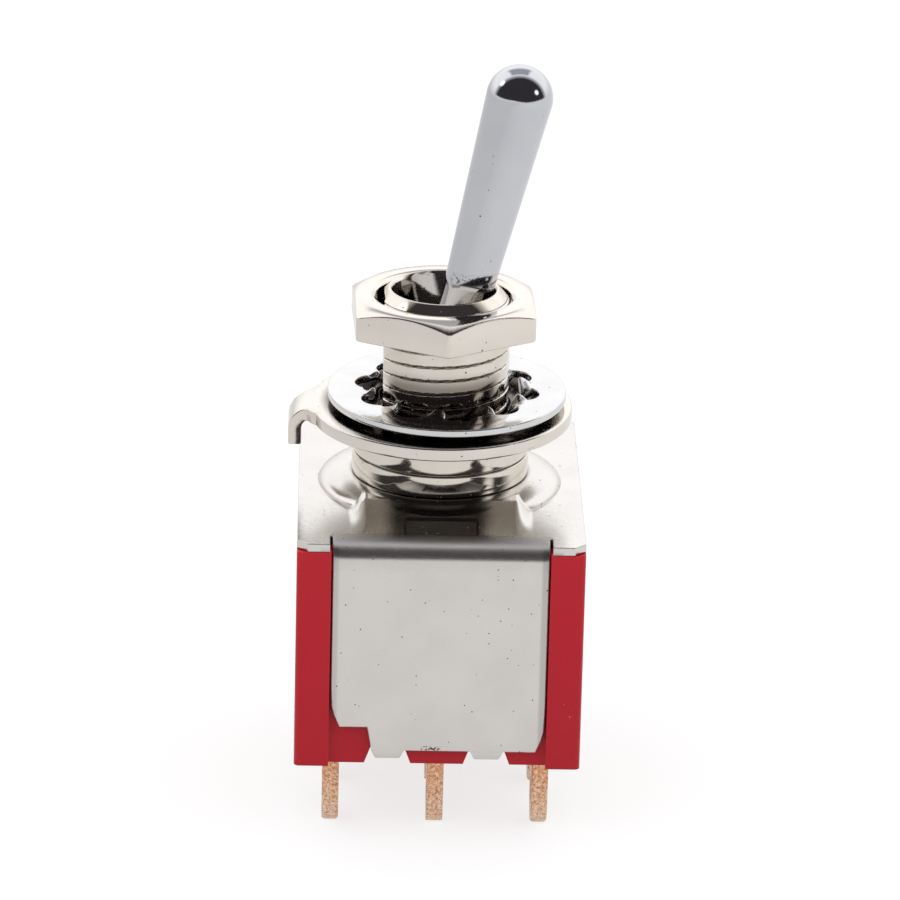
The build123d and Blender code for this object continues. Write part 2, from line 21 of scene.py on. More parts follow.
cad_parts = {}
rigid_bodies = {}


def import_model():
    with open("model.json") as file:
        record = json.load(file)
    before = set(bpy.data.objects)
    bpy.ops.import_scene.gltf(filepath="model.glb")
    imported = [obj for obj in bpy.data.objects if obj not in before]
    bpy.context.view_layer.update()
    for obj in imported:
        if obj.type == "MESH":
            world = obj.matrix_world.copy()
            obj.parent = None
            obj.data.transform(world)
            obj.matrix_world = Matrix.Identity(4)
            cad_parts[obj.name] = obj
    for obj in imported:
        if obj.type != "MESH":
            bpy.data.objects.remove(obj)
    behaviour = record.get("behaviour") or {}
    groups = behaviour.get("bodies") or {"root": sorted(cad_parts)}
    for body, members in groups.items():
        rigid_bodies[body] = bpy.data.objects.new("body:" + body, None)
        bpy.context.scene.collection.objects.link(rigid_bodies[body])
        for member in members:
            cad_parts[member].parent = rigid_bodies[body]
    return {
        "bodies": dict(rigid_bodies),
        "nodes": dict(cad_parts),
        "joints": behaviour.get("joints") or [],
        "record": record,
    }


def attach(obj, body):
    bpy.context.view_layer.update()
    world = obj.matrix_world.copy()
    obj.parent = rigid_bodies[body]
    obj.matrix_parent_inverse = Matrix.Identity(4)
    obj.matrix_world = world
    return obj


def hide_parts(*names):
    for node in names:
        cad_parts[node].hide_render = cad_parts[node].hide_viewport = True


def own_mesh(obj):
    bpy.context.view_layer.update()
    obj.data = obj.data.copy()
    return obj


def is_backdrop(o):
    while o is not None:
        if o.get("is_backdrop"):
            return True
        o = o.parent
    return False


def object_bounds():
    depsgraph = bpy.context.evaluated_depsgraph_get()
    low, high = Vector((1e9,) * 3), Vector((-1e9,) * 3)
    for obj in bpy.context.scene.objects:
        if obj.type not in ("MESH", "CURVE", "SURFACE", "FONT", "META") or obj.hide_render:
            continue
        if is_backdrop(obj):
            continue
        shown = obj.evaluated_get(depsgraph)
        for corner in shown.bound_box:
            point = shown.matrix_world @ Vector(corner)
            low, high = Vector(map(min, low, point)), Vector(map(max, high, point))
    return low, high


MM = 0.001
TURN = 2 * math.pi
WELD = 2e-7
log = logging.getLogger("switch")
Colour = tuple[float, float, float]
Place = tuple[float, float, float]
Span = tuple[float, float]


class Body(Enum):
    """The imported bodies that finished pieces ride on."""

    SWITCH = "switch_body"
    LEVER = "lever"
    NUT = "nut"
    CARRIAGE = "carriage"


# ---- Surfaces ---------------------------------------------------------------------


def placed(name: str, data: bpy.types.ID) -> bpy.types.Object:
    """Put a mesh, a lamp or a camera into the scene.

    Args:
        name: the object's name.
        data: what it holds.

    Returns:
        The object, at the origin.
    """
    thing = bpy.data.objects.new(name, data)
    bpy.context.scene.collection.objects.link(thing)
    return thing


def shade(data: bpy.types.Mesh, crisp: float) -> None:
    """Shade a mesh smooth, but for its edges over an angle in degrees."""
    data.polygons.foreach_set("use_smooth", np.ones(len(data.polygons), bool))
    data.set_sharp_from_angle(angle=math.radians(crisp))


def settle(piece: bpy.types.Object, crisp: float) -> None:
    """Keep what a piece's modifiers make as its mesh.

    Args:
        piece: the piece.
        crisp: edges over this angle in degrees stay crisp.
    """
    graph = bpy.context.evaluated_depsgraph_get()
    piece.data = bpy.data.meshes.new_from_object(piece.evaluated_get(graph))
    piece.modifiers.clear()
    shade(piece.data, crisp)


@dataclass
class Shell:
    """A mesh gathered from grids of points, in millimetres."""

    points: list[np.ndarray] = field(default_factory=list)
    quads: list[np.ndarray] = field(default_factory=list)
    count: int = 0

    def grid(self, xyz: np.ndarray, wrap_rows: bool = False, wrap_columns: bool = False) -> None:
        """Add a grid of points as quads between neighbours.

        Args:
            xyz: rows x columns x 3 points.
            wrap_rows: whether the last row joins the first.
            wrap_columns: whether the last column joins the first.
        """
        rows, columns = xyz.shape[:2]
        i = np.arange(rows if wrap_rows else rows - 1)[:, None]
        j = np.arange(columns if wrap_columns else columns - 1)[None, :]
        down, along = (i + 1) % rows, (j + 1) % columns
        corners = (i * columns + j, i * columns + along, down * columns + along, down * columns + j)
        quads = np.stack(np.broadcast_arrays(*corners), -1).reshape(-1, 4)
        self.points.append(xyz.reshape(-1, 3))
        self.quads.append(quads + self.count)
        self.count += rows * columns

    def open_round(self, radius: float) -> None:
        """Open a round hole about the Z axis: faces inside go, and mixed ones end on the circle.

        Args:
            radius: the hole's radius.
        """
        points, quads = np.concatenate(self.points), np.concatenate(self.quads)
        reach = np.hypot(points[:, 0], points[:, 1])
        inside = reach < radius
        quads = quads[~inside[quads].all(1)]
        push = np.where(inside, radius / np.maximum(reach, 1e-6), 1.0)
        points[:, :2] *= push[:, None]
        self.points, self.quads = [points], [quads]

    def mesh(self, name: str, crisp: float) -> bpy.types.Object:
        """Make the object, with its doubles merged and its faces outward.

        Args:
            name: the piece's name.
            crisp: edges over this angle in degrees stay crisp.

        Returns:
            The finished object, in metres.
        """
        points = np.concatenate(self.points) * MM
        data = bpy.data.meshes.new(name)
        data.from_pydata(points.tolist(), [], np.concatenate(self.quads).tolist())
        work = bmesh.new()
        work.from_mesh(data)
        bmesh.ops.remove_doubles(work, verts=work.verts, dist=WELD)
        bmesh.ops.dissolve_degenerate(work, edges=work.edges, dist=WELD)
        bmesh.ops.recalc_face_normals(work, faces=work.faces)
        work.to_mesh(data)
        work.free()
        shade(data, crisp)
        return placed(name, data)


def rounded_line(corners: Sequence[tuple[float, ...]], closed: bool = False, steps: int = 4) -> np.ndarray:
    """Round each corner of a line by a parabola tangent to both of its sides.

    A corner C with cut-back points A and B becomes (1-t)^2 A + 2t(1-t) C + t^2 B.

    Args:
        corners: (first, second, radius) of each corner, the radius being how far the
            rounding reaches along each side.
        closed: whether the last corner joins the first.
        steps: points on each rounding, less one.

    Returns:
        The points, n x 2.
    """
    table = np.array(corners, float)
    place, reach = table[:, :2], table[:, 2]
    back, ahead = np.roll(place, 1, 0) - place, np.roll(place, -1, 0) - place
    back_length = np.maximum(np.linalg.norm(back, axis=1), 1e-9)
    ahead_length = np.maximum(np.linalg.norm(ahead, axis=1), 1e-9)
    reach = np.minimum(reach, 0.45 * np.minimum(back_length, ahead_length))
    if not closed:
        reach[0] = reach[-1] = 0
    start = place + back / back_length[:, None] * reach[:, None]
    end = place + ahead / ahead_length[:, None] * reach[:, None]
    t = np.linspace(0, 1, steps + 1)[None, :, None]
    line = (1 - t) ** 2 * start[:, None] + 2 * t * (1 - t) * place[:, None] + t**2 * end[:, None]
    line = line.reshape(-1, 2)
    keep = np.ones(len(line), bool)
    keep[1:] = np.linalg.norm(np.diff(line, axis=0), axis=1) > 1e-6
    return line[keep]


def refined(line: np.ndarray, step: float) -> np.ndarray:
    """Add even points along a line's segments so that none is longer than a step.

    Args:
        line: the points, n x 2.
        step: the longest segment allowed.

    Returns:
        The points with the added ones, in order.
    """
    length = np.linalg.norm(np.diff(line, axis=0), axis=1)
    parts = np.maximum(np.ceil(length / step).astype(int), 1)
    place = np.concatenate([[0], np.cumsum(parts)])
    wanted = np.arange(place[-1] + 1)
    return np.stack([np.interp(wanted, place, line[:, k]) for k in (0, 1)], 1)


def even_turn(count: int) -> np.ndarray:
    """Even angles once round, in radians."""
    return np.linspace(0, TURN, count, endpoint=False)


def around(r: np.ndarray, a: np.ndarray, z: np.ndarray) -> np.ndarray:
    """The points (r cos a, r sin a, z), with the three broadcast together."""
    return np.stack(np.broadcast_arrays(r * np.cos(a), r * np.sin(a), z), -1)


def turned(profile: np.ndarray, angles: np.ndarray) -> np.ndarray:
    """Turn a profile of (r, z) points about Z, with the profile along the grid's rows."""
    return around(profile[:, :1], angles, profile[:, 1:])


def leaned(grid: np.ndarray, degrees: float, axis: str) -> np.ndarray:
    """Turn points about one of the axes, through the origin."""
    return grid @ np.array(Matrix.Rotation(math.radians(degrees), 3, axis)).T


def rounded_section(
    half_width: np.ndarray, half_height: float, edge: float
) -> tuple[np.ndarray, np.ndarray]:
    """A rounded rectangle's loop for each half width, the same number of points in each.

    The loop is rounded once at a width that no edge reaches across, and each of its
    sides is then moved in or out.

    Args:
        half_width: the half widths, one for each row.
        half_height: the half height that they share.
        edge: how far the corners' roundings reach.

    Returns:
        The loops' widthwise and heightwise coordinates, rows x points.
    """
    wide = 10.0
    corners = [(wide, -1), (wide, 1), (-wide, 1), (-wide, -1)]
    loop = rounded_line([(x, z * half_height, edge) for x, z in corners], closed=True)
    side = np.sign(loop[:, 0])
    across = half_width[:, None] * side + side * (np.abs(loop[:, 0]) - wide)
    return across, np.broadcast_to(loop[:, 1], across.shape)


def smooth_step(x: np.ndarray, low: float, high: float) -> np.ndarray:
    """Rise smoothly from 0 at low to 1 at high, as 3t^2 - 2t^3."""
    t = np.clip((x - low) / (high - low), 0, 1)
    return t * t * (3 - 2 * t)


# ---- Finishes ---------------------------------------------------------------------

GRAIN_SPAN = (0.3, 0.7)  # of the fine grain that moves a polish
TINT_SPAN = (0.35, 0.7)  # of the broad grain that turns a metal to its tint
BROKEN_SPAN = (0.5, 0.56)  # of the fine grain in which a broken patch shows
PIT_SPAN = (0.52, 0.66)  # and in which a lug's pits do
CREASE_SHADE_SPAN = (0.74, 0.32)  # of the open sky over a point that painted crease shade fills
EDGE_SPAN = (0.995, 0.85)  # of the rounded normal's cosine that counts as an edge


class Nodes:
    """A short way to place and join shader nodes in one tree."""

    def __init__(self, tree: bpy.types.NodeTree) -> None:
        """Start with an empty tree, a material's, a group's or a world's."""
        self.tree = tree
        tree.nodes.clear()

    def add(self, kind: str, settings: dict | None = None, **inputs: object) -> bpy.types.Node:
        """Place a node.

        Args:
            kind: the node's type name.
            settings: attributes to set on the node.
            **inputs: sockets by name, with spaces as underscores, or by number as in _0;
                a value, or a socket to link from.

        Returns:
            The node.
        """
        node = self.tree.nodes.new(kind)
        for key, value in (settings or {}).items():
            setattr(node, key, value)
        for key, value in inputs.items():
            numbered = key[0] == "_" and key[1:].isdigit()
            socket = node.inputs[int(key[1:]) if numbered else key.replace("_", " ")]
            if isinstance(value, bpy.types.NodeSocket):
                self.tree.links.new(value, socket)
            else:
                socket.default_value = value
        return node

    def math(self, operation: str, *values: object) -> bpy.types.NodeSocket:
        """A Math node's result.

        Args:
            operation: the node's operation.
            *values: its inputs in order, as numbers or sockets.

        Returns:
            The output socket.
        """
        inputs = {f"_{k}": value for k, value in enumerate(values)}
        return self.add("ShaderNodeMath", {"operation": operation}, **inputs).outputs[0]

    def span(
        self, value: bpy.types.NodeSocket, low: float, high: float, first: float = 0.0, last: float = 1.0
    ) -> bpy.types.NodeSocket:
        """How far a value has gone from low to high, as a number from first to last.

        Args:
            value: the value.
            low: where the result is first.
            high: where it is last.
            first: the result at low and before it.
            last: the result at high and past it.

        Returns:
            The result's socket.
        """
        ends = {"From_Min": low, "From_Max": high, "To_Min": first, "To_Max": last}
        return self.add("ShaderNodeMapRange", Value=value, **ends).outputs["Result"]

    def mix(self, factor: object, first: object, second: object) -> bpy.types.NodeSocket:
        """A colour mix.

        Args:
            factor: 0 for the first, 1 for the second.
            first: the first colour.
            second: the second colour.

        Returns:
            The colour socket.
        """
        pair = [one if isinstance(one, bpy.types.NodeSocket) else (*one, 1.0) for one in (first, second)]
        return self.add("ShaderNodeMix", {"data_type": "RGBA"}, _0=factor, _6=pair[0], _7=pair[1]).outputs[2]

    def group(self, tree: bpy.types.NodeTree, **inputs: object) -> bpy.types.NodeOutputs:
        """Place a node group and return its outputs."""
        return self.add("ShaderNodeGroup", {"node_tree": tree}, **inputs).outputs

    def place(self) -> bpy.types.NodeSocket:
        """The point's own place, in Object coordinates."""
        return self.add("ShaderNodeTexCoord").outputs["Object"]

    def axes(self, vector: bpy.types.NodeSocket) -> list[bpy.types.NodeSocket]:
        """A vector's X, Y and Z."""
        return list(self.add("ShaderNodeSeparateXYZ", Vector=vector).outputs)


class Group(Nodes):
    """A node group's nodes, with what it is given and what it gives."""

    def __init__(self, name: str, inputs: dict[str, float], *outputs: str) -> None:
        """Start the group.

        Args:
            name: the group's name.
            inputs: names and default values.
            *outputs: names, of which Normal is a vector and the others are numbers.
        """
        tree = bpy.data.node_groups.new(name, "ShaderNodeTree")
        for key, value in inputs.items():
            socket = tree.interface.new_socket(key, in_out="INPUT", socket_type="NodeSocketFloat")
            socket.default_value = value
        for key in outputs:
            kind = "NodeSocketVector" if key == "Normal" else "NodeSocketFloat"
            tree.interface.new_socket(key, in_out="OUTPUT", socket_type=kind)
        super().__init__(tree)
        self.given = self.add("NodeGroupInput").outputs

    def give(self, **results: bpy.types.NodeSocket) -> bpy.types.NodeTree:
        """Join the results to the group's outputs, and return the group."""
        self.add("NodeGroupOutput", **results)
        return self.tree


class Effects:
    """Node groups that the finishes share: grain, specks, rounded edges and soft patches."""

    def __init__(self) -> None:
        """Build every group once."""
        self.grain = self._grain()
        self.specks = self._specks()
        self.edges = self._edges()
        self.patch = self._patch()

    @staticmethod
    def _grain() -> bpy.types.NodeTree:
        """Fine and broad noise of the surface, 0 to 1 about 0.5.

        Returns:
            The group.
        """
        group = Group("surface_grain", {"Fine": 9000.0, "Broad": 500.0}, "Fine", "Broad")
        place, noise = group.place(), {}
        for key, detail in (("Fine", 3.0), ("Broad", 4.0)):
            cloud = group.add("ShaderNodeTexNoise", Vector=place, Scale=group.given[key], Detail=detail)
            noise[key] = cloud.outputs["Fac"]
        return group.give(**noise)

    @staticmethod
    def _specks() -> bpy.types.NodeTree:
        """A mask of small scattered specks, some of the cells of a Voronoi pattern.

        Returns:
            The group.
        """
        group = Group("specks", {"Scale": 2500.0, "Size": 0.2, "Share": 0.1}, "Mask")
        given = group.given
        cells = group.add("ShaderNodeTexVoronoi", Vector=group.place(), Scale=given["Scale"]).outputs
        chance = group.add("ShaderNodeSeparateColor", Color=cells["Color"]).outputs
        chosen = group.math("LESS_THAN", chance[0], given["Share"])
        size = group.math("MULTIPLY", given["Size"], group.math("ADD", chance[1], 0.4))
        near = group.math("LESS_THAN", cells["Distance"], size)
        return group.give(Mask=group.math("MULTIPLY", chosen, near))

    @staticmethod
    def _edges() -> bpy.types.NodeTree:
        """Where the surface turns within a radius, as a mask, and the rounded normal there.

        Returns:
            The group.
        """
        group = Group("rounded_edges", {"Radius": 0.00008}, "Mask", "Normal")
        rounded = group.add("ShaderNodeBevel", {"samples": 6}, Radius=group.given["Radius"]).outputs[0]
        plain = group.add("ShaderNodeNewGeometry").outputs["Normal"]
        turn = group.add("ShaderNodeVectorMath", {"operation": "DOT_PRODUCT"}, _0=rounded, _1=plain)
        return group.give(Mask=group.span(turn.outputs["Value"], *EDGE_SPAN), Normal=rounded)

    @staticmethod
    def _patch() -> bpy.types.NodeTree:
        """A box with soft sides: 1 inside, 0 outside.

        Where Paired is 1 both ends have it, and where Round is 1 the distance from the
        Z axis stands for X.

        Returns:
            The group.
        """
        inputs = {"X": 0.0, "Y": 0.0, "Z": 0.0, "Half X": 0.001, "Half Y": 0.001, "Half Z": 0.001}
        inputs |= {"Soft": 0.0002, "Paired": 0.0, "Round": 0.0}
        group = Group("soft_patch", inputs, "Mask")
        math_node, given = group.math, group.given
        x, y, z = group.axes(group.place())
        radius = math_node("SQRT", math_node("ADD", math_node("MULTIPLY", x, x), math_node("MULTIPLY", y, y)))
        x = math_node("ADD", x, math_node("MULTIPLY", math_node("SUBTRACT", radius, x), given["Round"]))
        front = math_node("SUBTRACT", math_node("MULTIPLY", math_node("ABSOLUTE", y), -1.0), y)
        y = math_node("ADD", y, math_node("MULTIPLY", front, given["Paired"]))
        mask: object = 1.0
        for axis, value in (("X", x), ("Y", y), ("Z", z)):
            off = math_node("ABSOLUTE", math_node("SUBTRACT", value, given[axis]))
            inside = math_node("SUBTRACT", given[f"Half {axis}"], off)
            share = math_node("ADD", math_node("DIVIDE", inside, given["Soft"]), 0.5)
            smooth = group.add("ShaderNodeMapRange", {"interpolation_type": "SMOOTHSTEP"}, Value=share)
            mask = math_node("MULTIPLY", mask, smooth.outputs["Result"])
        return group.give(Mask=mask)


@dataclass(frozen=True, kw_only=True)
class Finish:
    """What every finish on the switch has.

    Attributes:
        name: the material's name.
        colour: the clean surface.
        tint: what it turns to in broad patches.
        roughness: of the polish; grain moves it by roughness_spread.
        bump: how deep the fine grain is.
        ripple: how deep the broad unevenness is.
        speck_share: how many of the cells hold a speck.
        edge_radius: how far the edges' rounding reaches.
    """

    name: str
    colour: Colour
    tint: Colour
    roughness: float
    roughness_spread: float = 0.05
    bump: float = 0.0
    ripple: float = 0.0
    fine_scale: float = 9000.0
    broad_scale: float = 500.0
    speck_colour: Colour = (0.16, 0.13, 0.12)
    speck_share: float = 0.0
    speck_scale: float = 6000.0
    speck_size: float = 0.2
    edge_radius: float = 0.00006


class Surface(Nodes):
    """A material's nodes, begun with the grain and the rounded edges of its finish."""

    def __init__(self, finish: Finish, effects: Effects) -> None:
        """Start the material.

        Args:
            finish: the finish's values.
            effects: the shared node groups, which read Object coordinates.
        """
        self.material = bpy.data.materials.new(finish.name)
        self.material.use_nodes = True
        super().__init__(self.material.node_tree)
        self.finish, self.effects = finish, effects
        grain = self.group(effects.grain, Fine=finish.fine_scale, Broad=finish.broad_scale)
        edges = self.group(effects.edges, Radius=finish.edge_radius)
        self.fine, self.broad = grain["Fine"], grain["Broad"]
        self.edge, self.normal = edges["Mask"], edges["Normal"]

    def polish(self) -> bpy.types.NodeSocket:
        """The roughness, which the fine grain moves both ways."""
        middle, spread = self.finish.roughness, self.finish.roughness_spread
        return self.span(self.fine, *GRAIN_SPAN, middle - spread, middle + spread)

    def specks(self) -> bpy.types.NodeSocket:
        """The mask of the finish's specks."""
        scale, size, share = self.finish.speck_scale, self.finish.speck_size, self.finish.speck_share
        return self.group(self.effects.specks, Scale=scale, Size=size, Share=share)["Mask"]

    def done(self, **inputs: object) -> bpy.types.Material:
        """Bump the surface by its grain and join up its shader.

        Args:
            **inputs: the shader's other sockets, as Nodes.add takes them.

        Returns:
            The material.
        """
        for height, depth in ((self.broad, self.finish.ripple), (self.fine, self.finish.bump)):
            if depth > 0:
                relief = {"Strength": 1.0, "Distance": depth, "Height": height}
                self.normal = self.add("ShaderNodeBump", Normal=self.normal, **relief).outputs["Normal"]
        shader = self.add("ShaderNodeBsdfPrincipled", Normal=self.normal, **inputs)
        self.add("ShaderNodeOutputMaterial", Surface=shader.outputs[0])
        return self.material


@dataclass(frozen=True)
class Patch:
    """A soft-sided box of the surface with its own colour and polish, in millimetres.

    Attributes:
        centre: the box's middle in the part's frame.
        half: half its size along each axis.
        soft: how far its sides fade over.
        colour: what the metal turns to in it.
        strength: how much of that colour shows.
        roughness: how much rougher it is.
        paired: whether the rear end has the same patch as the front.
        round: whether its X is the distance from the bushing's axis.
        broken: whether it shows only in the hollows of the fine grain.
    """

    centre: Place
    half: Place
    soft: float
    colour: Colour = (0.04, 0.033, 0.033)
    strength: float = 0.0
    roughness: float = 0.0
    paired: bool = True
    round: bool = False
    broken: bool = False

    def mask(self, surface: Surface) -> bpy.types.NodeSocket:
        """Where a surface lies in the patch, 0 to 1.

        Args:
            surface: the material's nodes.

        Returns:
            The mask's socket.
        """
        places = {axis: value * MM for axis, value in zip("XYZ", self.centre)}
        halves = {f"Half_{axis}": value * MM for axis, value in zip("XYZ", self.half)}
        switches = {"Paired": float(self.paired), "Round": float(self.round)}
        box = places | halves | switches | {"Soft": self.soft * MM}
        mask = surface.group(surface.effects.patch, **box)["Mask"]
        if self.broken:
            mask = surface.math("MULTIPLY", mask, surface.span(surface.fine, *BROKEN_SPAN))
        return mask


@dataclass(frozen=True, kw_only=True)
class MetalFinish(Finish):
    """A plated or bare metal, with painted shade in its creases, and its patches.

    Attributes:
        crevice: how far out of its creases the painted shade reaches.
        crevice_colour: of the painted shade.
        crevice_strength: how much of that colour shows.
        speck_roughness: of the specks, which aren't metal.
        patches: where the metal is dulled or stained, and where shade is painted on it.
    """

    crevice: float = 0.0
    crevice_colour: Colour = (0.07, 0.045, 0.035)
    crevice_strength: float = 0.9
    speck_roughness: float = 0.6
    patches: tuple[Patch, ...] = ()

    def material(self, effects: Effects) -> bpy.types.Material:
        """Build the material.

        Args:
            effects: the shared node groups.

        Returns:
            The material.
        """
        nodes = Surface(self, effects)
        colour = nodes.mix(nodes.span(nodes.broad, *TINT_SPAN), self.colour, self.tint)
        roughness, metallic = nodes.polish(), 1.0
        # Painted shade: the colour darkens where little open sky lies over a point, in creases and the gaps
        # between parts.
        if self.crevice > 0:
            sky = nodes.add("ShaderNodeAmbientOcclusion", {"samples": 12}, Distance=self.crevice)
            hidden = nodes.span(sky.outputs["AO"], *CREASE_SHADE_SPAN)
            painted_shade = nodes.math("MULTIPLY", hidden, self.crevice_strength)
            colour = nodes.mix(painted_shade, colour, self.crevice_colour)
        for patch in self.patches:
            mask = patch.mask(nodes)
            if patch.strength > 0:
                colour = nodes.mix(nodes.math("MULTIPLY", mask, patch.strength), colour, patch.colour)
            if patch.roughness > 0:
                roughness = nodes.math("ADD", roughness, nodes.math("MULTIPLY", mask, patch.roughness))
        if self.speck_share > 0:
            specks = nodes.specks()
            colour = nodes.mix(specks, colour, self.speck_colour)
            roughness = nodes.math("MAXIMUM", roughness, nodes.math("MULTIPLY", specks, self.speck_roughness))
            metallic = nodes.math("SUBTRACT", 1.0, specks)
        return nodes.done(Base_Color=colour, Roughness=roughness, Metallic=metallic)


@dataclass(frozen=True, kw_only=True)
class PlasticFinish(Finish):
    """A moulded plastic.

    Attributes:
        edge_colour: the paler line painted along moulded edges as a highlight.
        edge_wear: how much of that painted highlight shows.
        gloss: the level of its reflections.
    """

    edge_colour: Colour
    edge_wear: float = 0.45
    gloss: float = 0.35
    roughness_spread: float = 0.06
    bump: float = 0.0000015
    ripple: float = 0.000004
    fine_scale: float = 7000.0
    broad_scale: float = 350.0
    speck_colour: Colour = (0.75, 0.7, 0.68)
    speck_scale: float = 3600.0
    speck_size: float = 0.13
    edge_radius: float = 0.0001

    def material(self, effects: Effects) -> bpy.types.Material:
        """Build the material.

        Args:
            effects: the shared node groups.

        Returns:
            The material.
        """
        nodes = Surface(self, effects)
        colour = nodes.mix(nodes.broad, self.colour, self.tint)
        # Painted highlight: a paler line along the moulded edges.
        colour = nodes.mix(nodes.math("MULTIPLY", nodes.edge, self.edge_wear), colour, self.edge_colour)
        colour = nodes.mix(nodes.specks(), colour, self.speck_colour)
        return nodes.done(Base_Color=colour, Roughness=nodes.polish(), Specular_IOR_Level=self.gloss)


@dataclass(frozen=True, kw_only=True)
class LugFinish(Finish):
    """Terminal metal: copper near the base under a pale wash, its tint, towards the ends.

    Attributes:
        base_height: where the lugs leave the base.
        end_height: where they end.
        wander: how far the grain moves the wash's edge, as a share of that height.
        pit: what the grain's hollows turn to.
        pit_strength: how much of that colour shows.
    """

    base_height: float
    end_height: float
    wander: float = 3.4
    pit: Colour = (0.34, 0.12, 0.05)
    pit_strength: float = 0.75
    bump: float = 0.00002
    ripple: float = 0.00005
    fine_scale: float = 15000.0
    broad_scale: float = 6500.0
    edge_radius: float = 0.00016

    def material(self, effects: Effects) -> bpy.types.Material:
        """Build the material.

        Args:
            effects: the shared node groups.

        Returns:
            The material.
        """
        nodes = Surface(self, effects)
        along = nodes.span(nodes.axes(nodes.place())[2], self.base_height, self.end_height)
        wander = nodes.math("MULTIPLY", nodes.math("SUBTRACT", nodes.broad, 0.5), self.wander)
        washed = nodes.math("MAXIMUM", nodes.math("ADD", along, wander), nodes.edge)
        colour = nodes.mix(washed, self.colour, self.tint)
        pits = nodes.math("MULTIPLY", nodes.span(nodes.fine, *PIT_SPAN), self.pit_strength)
        colour = nodes.mix(pits, colour, self.pit)
        return nodes.done(Base_Color=colour, Metallic=1.0, Roughness=self.roughness)


# ---- Pieces -----------------------------------------------------------------------


@dataclass
class BatLever:
    """The lever: a ball in the bushing, a tapering barrel with a domed end, and a tail."""

    pivot_height: float = 1.4
    lean: float = 13.0
    reach: float = 15.4
    tip_radius: float = 1.49
    root_radius: float = 0.99
    ball_radius: float = 1.95
    ball_foot: float = 0.7
    tail_length: float = 6.2
    tail_neck: float = 0.55
    tail_ball: float = 0.75
    tail_foot: float = 0.45
    columns: int = 144

    @staticmethod
    def ball(radius: float, height: float, foot: float, neck: float, steps: int) -> np.ndarray:
        """Points (R sin a, height - R cos a) up a ball, from its flat foot to its neck.

        Args:
            radius: R, of the ball.
            height: of its middle, above the pivot.
            foot: how far below its middle it is cut flat.
            neck: the radius that it ends at.
            steps: how many points.

        Returns:
            The points, from the lowest up.
        """
        a = np.linspace(math.acos(foot / radius), math.pi - math.asin(neck / radius), steps)
        return np.stack([radius * np.sin(a), height - radius * np.cos(a)], 1)

    def profile(self) -> np.ndarray:
        """The lever's outline as (r, height above the pivot), from the tail's flat end to the dome.

        Returns:
            The points, from the lowest up.
        """
        tail = self.ball(self.tail_ball, -self.tail_length, self.tail_foot, self.tail_neck, 14)
        ball = self.ball(self.ball_radius, 0.0, self.ball_foot, self.root_radius, 30)
        dome = self.ball(self.tip_radius, self.reach - self.tip_radius, 0.0, 0.0, 36)
        barrel = np.linspace(ball[-1], dome[0], 40)
        foot = np.array([[0.0, tail[0, 1]]])
        neck = np.array([[self.tail_neck, -self.ball_foot]])
        return np.concatenate([foot, tail, neck, ball, barrel[1:-1], dome])

    def build(self) -> bpy.types.Object:
        """Turn the outline about the lever's own axis and lean it about the pivot.

        Returns:
            The finished piece.
        """
        shell = Shell()
        grid = leaned(turned(self.profile(), even_turn(self.columns)), self.lean, "Y")
        shell.grid(grid + (0, 0, self.pivot_height), wrap_columns=True)
        return shell.mesh("bat_lever", crisp=50)


